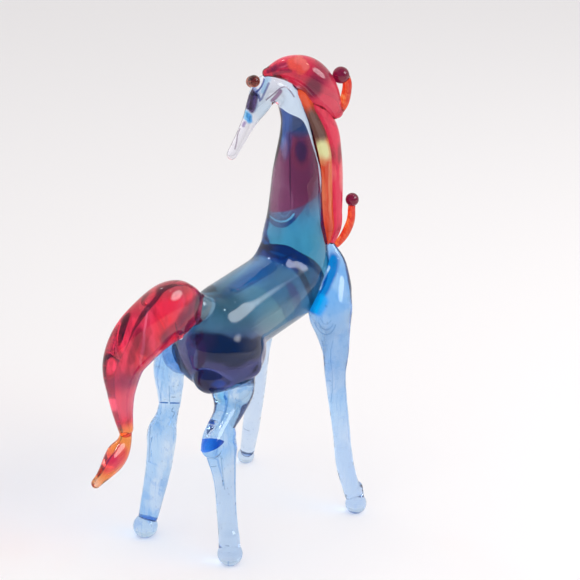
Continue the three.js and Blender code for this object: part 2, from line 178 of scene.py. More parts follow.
room = bpy.data.worlds.new("room")
scene.world = room
room.use_nodes = True
tree = room.node_tree
lit = tree.nodes["Background"]
lit.inputs["Color"].default_value = (1, 1, 1, 1)
lit.inputs["Strength"].default_value = room_light
where = node_of(tree, "ShaderNodeTexCoord")
ahead_share = vector_step(tree, "DOT_PRODUCT", where.outputs["Generated"], -toward_camera)
to_share = node_of(tree, "ShaderNodeMapRange", {"Value": ahead_share, "From Min": -1})
walls = node_of(tree, "ShaderNodeValToRGB", {0: to_share.outputs[0]})
stops = walls.color_ramp.elements
stops[0].position, stops[0].color = dim_end, (*dim_side, 1)
stops[1].position, stops[1].color = wall_end, (*wall_colour, 1)
stops.new(near_wall_end).color = (*near_wall_colour, 1)
seen = node_of(tree, "ShaderNodeBackground", {"Color": walls.outputs[0]})
path = node_of(tree, "ShaderNodeLightPath")
either = number_step(tree, "MAXIMUM", path.outputs["Is Camera Ray"], path.outputs["Is Glossy Ray"])
either_too = number_step(tree, "MAXIMUM", either, path.outputs["Is Transmission Ray"])
pick = node_of(tree, "ShaderNodeMixShader", {0: either_too, 1: lit.outputs[0], 2: seen.outputs[0]})
tree.links.new(pick.outputs[0], tree.nodes["World Output"].inputs["Surface"])


def lamp(name, toward, width, length, power, along=(0, 0, 1), soft=0.45):
    """A round lamp with a soft edge that shines on the horse from the direction toward. Its length lies
    along, and soft is the share of its half length that the edge takes."""
    data = bpy.data.lights.new(name, "AREA")
    data.shape = "RECTANGLE"
    data.size, data.size_y, data.energy = width, length, power
    data.use_nodes = True
    tree = data.node_tree
    spot = node_of(tree, "ShaderNodeNewGeometry")
    off = vector_step(tree, "DISTANCE", spot.outputs["Parametric"], (0.5, 0.5, 0))
    tree.links.new(eased(tree, off, 0.5, 0.5 - soft), tree.nodes["Emission"].inputs["Strength"])
    thing = linked(bpy.data.objects.new(name, data))
    back = Vector(toward).normalized()
    side = Vector(along).cross(back).normalized()
    thing.location = placed(camera_target) + back * lamp_distance
    thing.rotation_mode = "QUATERNION"
    thing.rotation_quaternion = Matrix((side, back.cross(side), back)).transposed().to_quaternion()


barrel_heading = (0.986, 0, 0.165)
lamp("soft_box", (0.287, -0.753, 0.592), 0.36, 0.44, 3.2, along=barrel_heading, soft=0.16)
lamp("far_lamp", (0.107, 0.478, 0.871), 0.07, 0.07, 0.5)
lamp("near_lamp", (0.102, -0.388, 0.916), 0.07, 0.07, 0.4)


# The trunk and the neck.
# A clear casing of pale glass over cores of blue and plum glass. Barrel, haunches, neck and head were
# rods that the flame ran into one skin. It is parted where one glass ends and the next begins.
barrel_length, barrel_diameter, barrel_height = 20, 16.6, 49.2
barrel_pitch = math.radians(9.5)
haunch_diameter, haunch_drop, haunch_setback = 19.5, 4.3, 2.9
up = vec(0, 0, 1)
ahead = vec(1, 0, 0)
leftward = vec(0, 1, 0)
barrel_line = vec(math.cos(barrel_pitch), 0, math.sin(barrel_pitch))
barrel_middle = vec(-barrel_length / 2, 0, barrel_height)
chest = barrel_middle + barrel_line * barrel_length / 2
croup = barrel_middle - barrel_line * barrel_length / 2
haunch = croup - up * haunch_drop - ahead * haunch_setback


def curve_through(points, shares, chordal):
    """Points of a Catmull-Rom curve at shares from 0 to 1 of its stations."""
    ends = [2 * points[0] - points[1], *points, 2 * points[-1] - points[-2]]
    found = []
    for share in shares:
        at = min(share * (len(points) - 1), len(points) - 1 - 1e-9)
        k = int(at)
        w = at - k
        a, b, c, d = ends[k:k + 4]
        pairs = ((a, b), (b, c), (c, d))
        g0, g1, g2 = (max(np.linalg.norm(q - p), 1e-4) ** 0.5 if chordal else 1 for p, q in pairs)
        m0 = g1 * ((b - a) / g0 - (c - a) / (g0 + g1) + (c - b) / g1)
        m1 = g1 * ((c - b) / g1 - (d - b) / (g1 + g2) + (d - c) / g2)
        found.append(
            b + m0 * w + (3 * (c - b) - 2 * m0 - m1) * w ** 2 + (2 * (b - c) + m0 + m1) * w ** 3
        )
    return np.array(found)


def evened(values, passes):
    """Values along a rod with their small kinks rubbed out."""
    for _ in range(passes):
        values[1:-1] = (values[:-2] + 2 * values[1:-1] + values[2:]) / 4
    return values


ring_pitch, kink_rub = 0.35, 0.5


def course(stations):
    """Centres and half thicknesses along a rod, one about every ring_pitch."""
    shares = np.linspace(0, 1, 24 * (len(stations) - 1) + 1)
    centres = curve_through([np.array(c, float) for c, _ in stations], shares, True)
    girths = curve_through([np.array([d / 2]) for _, d in stations], shares, False)
    run = np.concatenate([[0], np.cumsum(np.linalg.norm(np.diff(centres, axis=0), axis=1))])
    steps = np.linspace(0, run[-1], max(8, int(run[-1] / ring_pitch)) + 1)
    centres = np.column_stack([np.interp(steps, run, centres[:, k]) for k in range(3)])
    girths = np.interp(steps, run, girths[:, 0])
    passes = int(kink_rub / ring_pitch ** 2)
    return evened(centres, passes), evened(girths, passes)


def unit(v):
    return v / np.linalg.norm(v)


def drawn_rod(name, stations, across=(0, 1, 0), spread=1, sides=56, form=None):
    """A rod of solid glass with round ends, drawn along a line in the flame. A station is a point on
    that line with the rod's thickness there. spread is its width along across over its thickness, and
    form(share, angle) is what its half thickness is multiplied by."""
    centres, girths = course(stations)
    tangents = np.gradient(centres, axis=0)
    tangents /= np.linalg.norm(tangents, axis=1)[:, None]
    domes = sides // 4
    lifts = [math.pi / 2 * (1 - k / domes) for k in range(1, domes)]
    front_dome, back_dome = ([(
        centres[end] + way * tangents[end] * girths[end] * math.sin(lift), tangents[end],
        girths[end] * math.cos(lift), share,
    ) for lift in lifts] for end, way, share in ((0, -1, 0), (-1, 1, 1)))
    shares = np.linspace(0, 1, len(centres))
    rings = [*front_dome, *zip(centres, tangents, girths, shares), *reversed(back_dome)]
    angles = np.linspace(0, 2 * math.pi, sides, endpoint=False)
    corners = [centres[0] - tangents[0] * girths[0]]
    for centre, tangent, girth, share in rings:
        side = np.array(across, float)
        side = unit(side - tangent * (side @ tangent))
        rise = np.cross(side, tangent)
        bulge = np.ones(sides) if form is None else np.array([form(share, a) for a in angles])
        corners += list(
            centre
            + np.outer(girth * bulge * spread * np.cos(angles), side)
            + np.outer(girth * bulge * np.sin(angles), rise)
        )
    corners.append(centres[-1] + tangents[-1] * girths[-1])
    faces = [(0, 1 + (k + 1) % sides, 1 + k) for k in range(sides)]
    for r in range(len(rings) - 1):
        low, high = 1 + r * sides, 1 + (r + 1) * sides
        for k in range(sides):
            beyond = (k + 1) % sides
            faces.append((low + k, low + beyond, high + beyond, high + k))
    last, low = len(corners) - 1, 1 + (len(rings) - 1) * sides
    faces += [(last, low + k, low + (k + 1) % sides) for k in range(sides)]
    thing = mesh_object(name, [placed(c) for c in corners], faces)
    volume = sum(
        Vector(corners[f[0]]).dot(Vector(corners[f[1]]).cross(Vector(corners[f[2]]))) for f in faces
    )
    if volume < 0:
        thing.data.flip_normals()
    return thing


weld_bite = 0.03


def melted_on(piece, *neighbours):
    """Cuts away what piece would push into its neighbours, so that their glass meets in a thin weld."""
    for neighbour in neighbours:
        cutter = neighbour.copy()
        cutter.data = neighbour.data.copy()
        cutter.data.materials.clear()
        linked(cutter)
        count = len(cutter.data.vertices)
        places, normals = np.zeros(count * 3), np.zeros(count * 3)
        cutter.data.vertices.foreach_get("co", places)
        cutter.data.vertices.foreach_get("normal", normals)
        cutter.data.vertices.foreach_set("co", places - normals * weld_bite * MM)
        cut = piece.modifiers.new("weld", "BOOLEAN")
        cut.operation = "DIFFERENCE"
        cut.solver = "MANIFOLD"
        cut.object = cutter
        settled(piece)
        bpy.data.objects.remove(cutter)
    return piece


def settled(piece):
    """Makes the modifiers' result the piece's own mesh."""
    bpy.context.view_layer.update()
    depsgraph = bpy.context.evaluated_depsgraph_get()
    mesh = bpy.data.meshes.new_from_object(piece.evaluated_get(depsgraph))
    piece.modifiers.clear()
    piece.data = mesh
    return piece


def bead(name, centre, diameter, sides=56):
    """A bead of glass, as round as the flame makes it."""
    hair = vec(0, 0, 0.005)
    return drawn_rod(name, [(centre - hair, diameter), (centre + hair, diameter)], sides=sides)


rear_quarter = math.radians(51)


def horse_points(tree, pivot=(0, 0, 0), pitch=0.0, turn=rear_quarter):
    """Millimetres from pivot. With the turn rear_quarter the first axis runs across the horse as it is
    seen from its right rear, and the second away. With no turn the first axis runs to the chest, raised
    by pitch over level."""
    lie = Matrix.Rotation(turn, 3, "Z") @ Matrix.Rotation(pitch, 3, "Y")
    where = node_of(tree, "ShaderNodeTexCoord")
    return node_of(tree, "ShaderNodeMapping", {
        "Vector": where.outputs["Object"],
        "Scale": (1 / MM,) * 3,
        "Rotation": (0, pitch, turn),
        "Location": -(lie @ (chest_spot + Vector(pivot))),
    }).outputs[0]


def wandering(tree, points, reach, size):
    """Points pushed about by up to reach, in swirls of about size."""
    swirl = node_of(tree, "ShaderNodeTexNoise", {"Vector": points, "Scale": 1 / size, "Detail": 1})
    push = vector_step(tree, "MULTIPLY_ADD", swirl.outputs["Color"], (2 * reach,) * 3, points)
    return vector_step(tree, "SUBTRACT", push, (reach,) * 3)


def blended(tree, share, first, second):
    return node_of(tree, "ShaderNodeMix", {0: share, 6: first, 7: second}, data_type="RGBA").outputs[2]


def dabbed(tree, points, colour, dabs):
    """Soft dabs of colour laid over colour one after the other. A dab is its centre, its three half
    sizes, its colour, how solid it is and how much of it is soft edge."""
    for centre, sizes, tint, solid, soft in dabs:
        off = vector_step(tree, "SUBTRACT", points, centre)
        far = vector_step(tree, "LENGTH", vector_step(tree, "DIVIDE", off, sizes))
        colour = blended(tree, eased(tree, far, 1 - soft, 1 + soft, solid, 0), colour, tint)
    return colour


through = 200


def lined(tree, points, colour, lines):
    """Thin lines of colour. A line is the places it runs through, across and up the rear quarter, its
    half thickness, its colour, how solid it is and how much of it is soft edge. It lies within reach of
    deep, or goes right through the glass."""
    for spots, girth, tint, solid, soft, *depth in lines:
        deep, reach = depth or (0, through)
        shares = np.linspace(0, 1, 2 * len(spots) - 2)
        path = curve_through([np.array(spot, float) for spot in spots], shares, True)
        flat = vector_step(
            tree, "MULTIPLY_ADD", points, (1, girth / reach, 1), (0, -deep * girth / reach, 0),
        )
        nearest = None
        for (left, low), (right, high) in zip(path, path[1:]):
            start, run = Vector((left, 0, low)), Vector((right - left, 0, high - low))
            along = vector_step(tree, "DOT_PRODUCT", flat, run / run.length_squared)
            share = number_step(
                tree, "SUBTRACT", along, start.dot(run) / run.length_squared, clamp=True,
            )
            foot = vector_step(tree, "MULTIPLY_ADD", run, share, start)
            far = vector_step(tree, "DISTANCE", flat, foot)
            nearest = number_step(tree, "MINIMUM", nearest, far) if nearest else far
        edge = eased(tree, nearest, girth * (1 - soft), girth * (1 + soft), solid, 0)
        colour = blended(tree, edge, colour, tint)
    return colour


def streaked(tree, points, colour, tint, solid, stretch, low=0.5, high=0.7):
    """Thin streaks of tint. stretch is their size along the three axes."""
    lie = vector_step(tree, "DIVIDE", points, stretch)
    grain = node_of(tree, "ShaderNodeTexNoise", {"Vector": lie, "Scale": 1, "Detail": 2})
    return blended(tree, eased(tree, grain.outputs["Fac"], low, high, 0, solid), colour, tint)


def painter(swirls, *layers, over=None, **lie):
    """A paint that lays streaks, dabs or lines over a colour, one layer after the other. swirls is how
    far and in what size they wander, over is a paint that comes first, and lie is for horse_points."""
    def paint(tree, colour):
        colour = over(tree, colour) if over else colour
        points = horse_points(tree, **lie)
        points = wandering(tree, points, *swirls) if swirls else points
        for lay, *values in layers:
            colour = lay(tree, points, colour, *values)
        return colour
    return paint


def glass(name, colour, shadow, ior=1.5, clear=1.0, paint=None):
    """Clear coloured glass. Rays from lamps pass through it with the tint shadow, and paint(tree,
    colour) lays streaks and dabs of other glass into it."""
    material = bpy.data.materials.new(name)
    material.use_nodes = True
    tree = material.node_tree
    body = tree.nodes["Principled BSDF"]
    for key, value in (
        ("Base Color", (*colour, 1)), ("Transmission Weight", clear), ("IOR", ior), ("Roughness", 0),
    ):
        body.inputs[key].default_value = value
    if paint:
        tree.links.new(paint(tree, colour), body.inputs["Base Color"])
    path = node_of(tree, "ShaderNodeLightPath")
    let_by = node_of(tree, "ShaderNodeBsdfTransparent", {"Color": shadow})
    either = node_of(tree, "ShaderNodeMixShader", {
        0: path.outputs["Is Shadow Ray"], 1: body.outputs[0], 2: let_by.outputs[0],
    })
    tree.links.new(either.outputs[0], tree.nodes["Material Output"].inputs["Surface"])
    return material


def finished(piece, material, slot, *nodes):
    """Gives a piece its glass and its place in the horse."""
    if len(piece.data.materials) == 2:
        piece.data.materials[0] = material
    else:
        piece.data.materials.clear()
        piece.data.materials.append(material)
    piece.data.polygons.foreach_set("use_smooth", [True] * len(piece.data.polygons))
    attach(piece, "root")
    if nodes:
        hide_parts(*nodes)
    return piece


def fused(name, pieces, voxel, rubs, melts=()):
    """One skin of glass round several pieces, with its inner corners run together by the flame. A melt
    is a spot where the glass ran further, its reach and how often it is rubbed."""
    whole = pieces[0]
    for other in pieces[1:]:
        join = whole.modifiers.new("join", "BOOLEAN")
        join.operation = "UNION"
        join.solver = "MANIFOLD"
        join.object = other
    settled(whole)
    skin = whole.modifiers.new("skin", "REMESH")
    skin.mode = "VOXEL"
    skin.voxel_size = voxel * MM
    rub = whole.modifiers.new("rub", "SMOOTH")
    rub.factor = 0.5
    rub.iterations = rubs
    settled(whole)
    for spot, reach, more in melts:
        soft = whole.vertex_groups.new(name="soft")
        spot = placed(spot)
        for corner in whole.data.vertices:
            far = (corner.co - spot).length / (reach * MM)
            if far < 1:
                soft.add([corner.index], (1 - far ** 2) ** 2, "REPLACE")
        rub = whole.modifiers.new("melt", "SMOOTH")
        rub.factor = 0.5
        rub.iterations = more
        rub.vertex_group = soft.name
        settled(whole)
        whole.vertex_groups.clear()
    for other in pieces[1:]:
        bpy.data.objects.remove(other)
    whole.name = name
    whole.data.materials.clear()
    return whole


join_face = bpy.data.materials.new("join_face")
join_face.use_nodes = True
join_face.node_tree.nodes["Principled BSDF"].inputs["Alpha"].default_value = 0


def parted(whole, name, spot, toward):
    """Parts off what lies beyond spot, as seen along toward. The glass runs on there, so the two faces
    at the join are left clear."""
    reach = 200
    box = []
    one = unit(np.cross(toward, vec(0.3, 0.5, 0.81)))
    two = np.cross(toward, one)
    for depth in (0, 1):
        for a, b in ((-1, -1), (1, -1), (1, 1), (-1, 1)):
            box.append(placed(spot + (one * a + two * b + toward * depth) * reach))
    knife = mesh_object("knife", box, [
        (0, 1, 2, 3), (7, 6, 5, 4), (0, 4, 5, 1), (1, 5, 6, 2), (2, 6, 7, 3), (3, 7, 4, 0),
    ], smooth=False)
    if (one @ np.cross(two, toward)) > 0:
        knife.data.flip_normals()
    knife.data.materials.append(join_face)
    if not whole.data.materials:
        whole.data.materials.append(None)
    part = linked(whole.copy())
    part.data = whole.data.copy()
    part.name = name
    for piece, operation in ((whole, "DIFFERENCE"), (part, "INTERSECT")):
        cut = piece.modifiers.new("cut", "BOOLEAN")
        cut.operation = operation
        cut.solver = "MANIFOLD"
        cut.material_mode = "TRANSFER"
        cut.object = knife
        settled(piece)
        skin = bmesh.new()
        skin.from_mesh(piece.data)
        for edge in skin.edges:
            edge.smooth = len({face.material_index for face in edge.link_faces}) == 1
        skin.to_mesh(piece.data)
        skin.free()
    bpy.data.objects.remove(knife)
    return part


neck_length, neck_set_forward = 41, 2.5
neck_root_diameter, throat_diameter, poll_diameter = 16, 11.2, 5.1
neck_bow, neck_drift = 2.4, 2
neck_root = chest + ahead * neck_set_forward
neck_rows = [
    (0, 0, 0, neck_root_diameter),
    (0.2, 0.1, 0.15, neck_root_diameter * 0.9),
    (0.34, 0.35, 0.25, (neck_root_diameter + throat_diameter) * 0.45),
    (0.47, 0.6, 0.35, throat_diameter),
    (0.6, 0.85, 0.45, throat_diameter * 0.92),
    (0.81, 0.85, 0.6, (throat_diameter + poll_diameter) * 0.42),
    (0.91, 0.4, 0.7, poll_diameter * 1.08),
    (1, -0.15, 1, poll_diameter),
]
neck_stations = [
    (neck_root + up * neck_length * length + ahead * neck_bow * bow + leftward * neck_drift * drift, d)
    for length, bow, drift, d in neck_rows
]
poll = neck_stations[-1][0]
head_turn, head_tilt, face_pitch = (math.radians(a) for a in (137, 15, 62))
forehead_reach, face_length = 4, 16.2
cheek_diameter, nose_diameter, muzzle_diameter = 5.9, 2.9, 2.4
eye_diameter, eye_spacing = 2.6, 3.5
face_heading = vec(math.cos(head_turn), math.sin(head_turn), 0)
face_line = face_heading * math.cos(face_pitch) - up * math.sin(face_pitch)
face_across = np.cross(face_heading, up)
brow_line = -np.cross(face_line, face_across)
forehead = poll + face_heading * forehead_reach + up * cheek_diameter * 0.22


def on_face(share):
    return forehead + face_line * face_length * share


head_rod = drawn_rod("head_rod", [
    (poll + face_heading * forehead_reach * 0.2 + up * cheek_diameter * 0.08, cheek_diameter * 0.93),
    (forehead, cheek_diameter),
    (on_face(0.22), cheek_diameter * 0.9),
    (on_face(0.5), nose_diameter * 1.12),
    (on_face(0.8), nose_diameter * 0.88),
    (on_face(1), muzzle_diameter),
], across=face_across)
saddle_diameter, saddle_spread = 4.4, 2.2
loin_diameter, seat_diameter, left_hip_diameter = 15.6, 17.3, 7.8
skin_grain, skin_rubs = 0.25, 24
loin = croup - barrel_line * 3.5
body = fused("body", [
    drawn_rod("barrel", [(croup, barrel_diameter), (chest, barrel_diameter)], sides=72),
    drawn_rod("haunches", [
        (croup, barrel_diameter),
        ((croup + haunch) / 2, (barrel_diameter + haunch_diameter) / 2),
        (haunch, haunch_diameter),
    ], sides=72),
    drawn_rod("neck", neck_stations, sides=72),
    drawn_rod("saddle", [
        (spot, saddle_diameter) for spot in (vec(-8, 0, 54.2), vec(-5, 0, 57.2), vec(-2, 0, 60.6))
    ], spread=saddle_spread),
    drawn_rod("croup", [(croup, barrel_diameter), (loin, loin_diameter)]),
    drawn_rod("loin", [(loin, loin_diameter), (haunch, haunch_diameter)]),
    bead("seat", haunch + vec(1.7, -0.3, -1.4), seat_diameter),
    drawn_rod("right_hip_glass", [
        (vec(-29.2, -3.2, 38.7), 7.2), (vec(-25.35, -5.24, 38.6), 6.4), (vec(-21.5, -6.7, 39.9), 6.2),
    ]),
    bead("left_hip_glass", vec(-28.2, 5, 41.2), left_hip_diameter),
    head_rod,
], skin_grain, skin_rubs, [
    (vec(-5.6, 0, 58.4), 10, 220), (vec(-3.5, -3, 57.5), 9, 120), (vec(-23.3, -6.5, 47.4), 8.5, 320),
    (vec(-26, -6, 40), 5, 60), (poll + face_heading * 1.5, 4, 40),
])
body_shape = linked(body.copy())
body_shape.data = body.data.copy()
body_shape.name = "body_shape"
neck_join_height, rump_join = 60.5, 0.5
neck = parted(body, "neck_glass_skin", vec(0, 0, neck_join_height), up)
head_join, head_line = poll + face_heading * 1.2 + up * 1.15, unit(face_heading + up * 0.148)
head = parted(neck, "head_glass_skin", head_join, head_line)
rump_line = unit(haunch - croup)
rump = parted(body, "rump", croup + rump_line * rump_join, rump_line)

core_diameter, core_end_diameter, left_hip_core_diameter = 14.2, 15.4, 6.2
core_grain, core_rubs = 0.3, 12
core = fused("body_core_glass", [
    drawn_rod("barrel_core", [
        (croup, core_diameter), (barrel_middle, core_diameter),
        (chest - barrel_line * 1.4, core_end_diameter),
    ]),
    drawn_rod("haunch_core", [(croup, core_diameter), (haunch, core_diameter)]),
    bead("seat_core", haunch + vec(1.2, -0.4, -1.7), core_diameter),
    drawn_rod("right_hip_core", [
        (vec(-28.8, -3, 39.2), 5.8), (vec(-25.2, -4.8, 39.1), 5), (vec(-21.9, -6.2, 40.3), 4.8),
    ]),
    bead("left_hip_core", vec(-27.6, 4.5, 41.4), left_hip_core_diameter),
], core_grain, core_rubs)
quarter_left = vec(-0.629, 0.777, 0)


def in_neck(height, shift, diameter):
    """A station of the neck's core, shifted towards the left of the rear quarter."""
    ahead_of, left_of, levels = np.array([c for c, _ in neck_stations]).T
    centre = vec(np.interp(height, levels, ahead_of), np.interp(height, levels, left_of), height)
    return centre + quarter_left * shift, diameter


neck_core = drawn_rod("neck_streak", [in_neck(*row) for row in (
    (52, 0, 13.2), (57, 0, 12.6), (61, 0.1, 10.6), (64.5, 0.13, 9), (68, 0.17, 7.7), (75.2, 0.26, 6.5),
    (79.5, 0.3, 5.3), (83.4, 0.42, 3.9), (85.3, 0.56, 3.1), (87.1, 1.15, 1.5), (88.6, 1.6, 0.5),
)])
melted_on(neck_core, core)

violet, navy, deep_blue = (0.07, 0.065, 0.26), (0.0, 0.004, 0.03), (0.0, 0.09, 0.46)
teal, plum, plum_black = (0.1, 0.4, 0.58), (0.3, 0.05, 0.12), (0.08, 0.02, 0.08)
pure_white = (1, 1, 1)
skin_tint, clear_shadow = (0.5, 0.75, 0.85), (0.85, 0.92, 0.97)
core_paint = painter(
    (0.7, 5),
    (streaked, (0.03, 0.12, 0.24), 0.6, (16, 2.4, 2.4)),
    (streaked, (0.3, 0.46, 0.52), 0.5, (20, 3.4, 3.4), 0.52, 0.66),
    (dabbed, [
        ((1.5, 0.8, 7.3), (6.5, 2, 2), (0.4, 0.6, 0.9), 0.85, 0.5),
        ((-3, -1.8, 6.9), (9, 1.7, 1.7), (0.0, 0.14, 0.46), 0.85, 0.6),
        ((8.6, -1, 7.4), (4.2, 6.2, 2.4), deep_blue, 1, 0.3),
        ((9.2, -4.4, 6.2), (3.4, 2.6, 2), deep_blue, 1, 0.35),
        ((11.4, -7.4, 1.6), (2.6, 3, 4), (0.2, 0.24, 0.42), 0.8, 0.5),
        ((5.6, -7.6, -1), (2.4, 3, 4.5), (0.42, 0.44, 0.5), 0.6, 0.5),
        ((3.4, -7, 0.6), (1.3, 2.5, 4.4), (0.12, 0.04, 0.18), 0.85, 0.35),
        # painted reflection of the pale table: a light grey-green patch low on the barrel's near side
        ((-3.5, -7.2, -1.8), (6.5, 2.5, 3.4), (0.6, 0.62, 0.55), 0.85, 0.6),
        ((-2.5, -6.5, -5), (5, 3, 2), (0.34, 0.27, 0.36), 0.7, 0.6),
        ((-13, -4.6, 3), (4, 4, 4), (0.06, 0.15, 0.19), 0.85, 0.6),
        ((-14, -2, 6.5), (5, 4, 2.8), (0.02, 0.08, 0.1), 0.9, 0.6),
        ((-15.5, -4, -8), (14, 14, 4.4), violet, 1, 0.35),
        ((-21, -4, -6), (3.2, 4, 2.8), (0.09, 0.07, 0.2), 0.9, 0.5),
        ((-20.5, 1, -4), (2.6, 3.2, 5.5), (0.34, 0.27, 0.38), 0.8, 0.35),
        ((-18.4, -4.2, -1.4), (3, 4, 3), navy, 1, 0.2),
        ((-15.5, -6.6, -2.9), (3.8, 4, 3), navy, 1, 0.2),
        ((-11.6, -7.2, -3.7), (3.2, 4, 2.2), navy, 1, 0.25),
        ((-18.6, -1.2, 0), (2.4, 2.4, 2.2), (0.01, 0.005, 0.03), 1, 0.4),
        ((-20.6, -1.5, -3.6), (2.4, 0.9, 4), (0.04, 0.004, 0.04), 1, 0.3),
        ((-21.5, -5.9, -8), (1.6, 1.6, 0.9), (0.0, 0.2, 1.0), 1, 0.3),
        ((-13.5, 3.2, -11), (2.5, 2.5, 1.6), (0.3, 0.5, 1.0), 0.9, 0.5),
    ]),
    pivot=barrel_middle, pitch=barrel_pitch, turn=0,
)
skin_paint = painter((0.4, 6), (dabbed, [
    ((-14.32, -17.69, 41.25), (15, 15, 9), (0.6, 0.59, 0.74), 1, 0.3),
    ((1.5, 2, 92), (12, 16, 32), (0.66, 0.8, 0.96), 1, 0.12),
    ((-24.6, -21, 41.5), (2.8, 8, 4.5), (0.85, 0.9, 0.97), 0.9, 0.4),
]))
cheek = (-0.8, 3.2)
throat_paint = painter(
    None,
    (dabbed, [
        ((-10.5, 2, 82), (4.2, 20, 9), (0.92, 0.91, 0.97), 1, 0.4),
        ((-3.2, 2, 95), (2.6, 20, 4), (0.78, 0.8, 0.88), 0.9, 0.6),
    ]),
    (lined, [
        ([(-4.4, 91.2), (-2.9, 92.4), (-1.6, 93.5), (-0.5, 93.8), (0.6, 92.8), (1.4, 91.5)], 0.17,
         plum_black, 0.9, 0.5, *cheek),
        ([(-1.5, 92.9), (-2.3, 91.8), (-3.1, 90.9)], 0.5, (0.12, 0.02, 0.1), 0.95, 0.4, *cheek),
        # painted highlight: a short white glint on the throat
        ([(-3.4, 90.1), (-3.0, 90.3)], 0.3, pure_white, 1, 0.4, *cheek),
    ]),
    over=skin_paint,
)
rose, dark_blue, black = (0.4, 0.15, 0.22), (0.04, 0.07, 0.18), (0.02, 0.004, 0.02)
rim = [(-4.3, 65), (-3.2, 64.2), (-1.6, 63.8), (0.2, 64.3), (1.4, 65.6)]
neck_paint = painter(
    (0.3, 4),
    (streaked, (0.04, 0.24, 0.44), 0.5, (2, 2, 12)),
    (streaked, (0.16, 0.42, 0.5), 0.4, (3, 3, 9), 0.55, 0.7),
    (dabbed, [((-1.5, 2, 76.4), (7, through, 12.4), plum, 1, 0.02)]),
    (lined, [
        (rim, 0.5, (0.0, 0.015, 0.12), 1, 0.3, 0, 3.5),
        ([(left, low + 0.8) for left, low in rim], 0.2, (0.5, 0.8, 1.0), 1, 0.4, 0, 3.5),
    ]),
    (dabbed, [
        ((3.6, 2, 74), (3, 20, 8), (0.2, 0.025, 0.07), 0.8, 0.5),
        ((-1.8, 2, 71.5), (2, 20, 8), rose, 0.9, 0.6),
        ((-0.4, -0.5, 69), (1.6, 2.5, 3.4), (0.5, 0.25, 0.32), 0.7, 0.12),
        ((-0.4, -0.5, 69), (1.35, 3, 3.0), plum, 0.8, 0.12),
        ((2.8, 1.5, 79.4), (1.9, 3, 3.8), (0.3, 0.03, 0.05), 0.9, 0.3),
        ((3.4, 2, 85.4), (4.2, 20, 3.2), dark_blue, 1, 0.2),
        ((0, 2, 84.5), (1.2, 20, 6.2), (0.06, 0.13, 0.38), 1, 0.25),
        ((-0.3, 1.5, 80), (0.5, 3, 2.4), (0.4, 0.68, 0.85), 0.85, 0.4),
        ((2.9, 1, 79.6), (1.2, 3, 2.8), (0.015, 0.01, 0.06), 0.95, 0.4),
        ((0.72, 0, 77), (0.14, 4, 9.6), black, 0.95, 0.6),
    ]),
)
barrel_glass = glass("barrel_glass", skin_tint, (0.75, 0.85, 0.9), paint=skin_paint)
rump_glass = glass("rump_glass", skin_tint, (0.75, 0.8, 0.9), paint=skin_paint)
core_glass = glass(
    "core_glass", (0.12, 0.28, 0.38), (0.7, 0.75, 0.85), ior=1.02, clear=0.88, paint=core_paint,
)
neck_glass = glass("neck_glass", skin_tint, clear_shadow, paint=throat_paint)
plum_glass = glass("plum_glass", teal, (0.7, 0.6, 0.7), ior=1.0, paint=neck_paint)
finished(body, barrel_glass, "teal", "body_casing")
finished(rump, rump_glass, "violet", "rump_gather")
finished(core, core_glass, "navy", "body_core")
finished(neck, neck_glass, "sky", "neck_casing")
finished(neck_core, plum_glass, "plum", "neck_core")


# The head.
# It is the neck's clear glass, drawn down to a narrow muzzle. Colour was smeared on its left cheek and
# drawn into it as a streak, and each eye is a bead of brown glass pressed on beside the brow. The white
# and blue lines about the eye and brow are painted highlights and painted reflections of the room.
eye_line = (
    face_across * math.cos(head_tilt)
    + np.cross(face_heading, face_across) * math.sin(head_tilt)
)


def eye(name, side):
    centre = on_face(0.01) + brow_line * cheek_diameter * 0.56 + eye_line * side * eye_spacing / 2
    return bead(name, centre, eye_diameter, sides=40)


left_eye, right_eye = eye("left_eye_bead", -1), eye("right_eye_bead", 1)


midnight = (0.02, 0.03, 0.2)
face_paint = painter(
    None,
    (lined, [
        # The blue and midnight lines about the brow and eye are painted reflections of the room, and the
        # white arc is a painted highlight. The midnight patch below them and the lines after it are the
        # streak's own colour.
        ([(-3.8, 96.8), (-4.2, 95.6)], 0.9, (0.28, 0.6, 0.92), 0.95, 0.4, *cheek),
        ([(-4.5, 95), (-5.1, 93)], 0.5, (0.2, 0.46, 0.75), 0.95, 0.5, *cheek),
        ([(-3.9, 94.6), (-4.7, 92.9), (-5.4, 91.4)], 0.24, midnight, 0.9, 0.5, *cheek),
        ([(-4.5, 97.4), (-4.8, 95.4), (-5.6, 93.7), (-6.5, 92.8)], 0.2, midnight, 1, 0.5, *cheek),
        ([(-5, 97), (-5.3, 95.2), (-6.1, 93.8), (-7.4, 92.9)], 0.24, pure_white, 1, 0.4, *cheek),
        ([(-7.5, 92.2), (-6.3, 92.3), (-5.8, 91.2)], 0.36, midnight, 0.95, 0.4, *cheek),
        # painted highlights: two white glints on the dark streak
        ([(-7.95, 91.3), (-8.0, 90.5)], 0.26, pure_white, 1, 0.3, *cheek),
        ([(-6.1, 91.3), (-6.1, 90.4)], 0.16, pure_white, 1, 0.4, *cheek),
        ([(-9, 86), (-9.3, 85.4)], 0.4, (0.16, 0.08, 0.32), 0.9, 0.5, *cheek),
        ([(-10, 84.6), (-10.5, 83.5), (-10.75, 81.7), (-11.1, 80.4)], 0.15,
         plum_black, 0.85, 0.5, *cheek),
    ]),
    over=throat_paint,
)
stripe_paint = painter((0.15, 2), (lined, [
    ([(-6.5, 92.2), (-6.7, 91), (-7.4, 89)], 0.9, (0.25, 0.3, 0.55), 0.9, 0.3),
    ([(-6.6, 91.9), (-6.8, 90.8), (-7.4, 88.8)], 0.62, (0.04, 0.01, 0.06), 1, 0.3),
    ([(-7.8, 87.5), (-8, 86.3)], 0.5, (0.1, 0.5, 1.0), 1, 0.4),
    ([(-7.75, 87.4), (-7.95, 86.6)], 0.16, (0.0, 0.15, 0.5), 0.9, 0.5),
]))
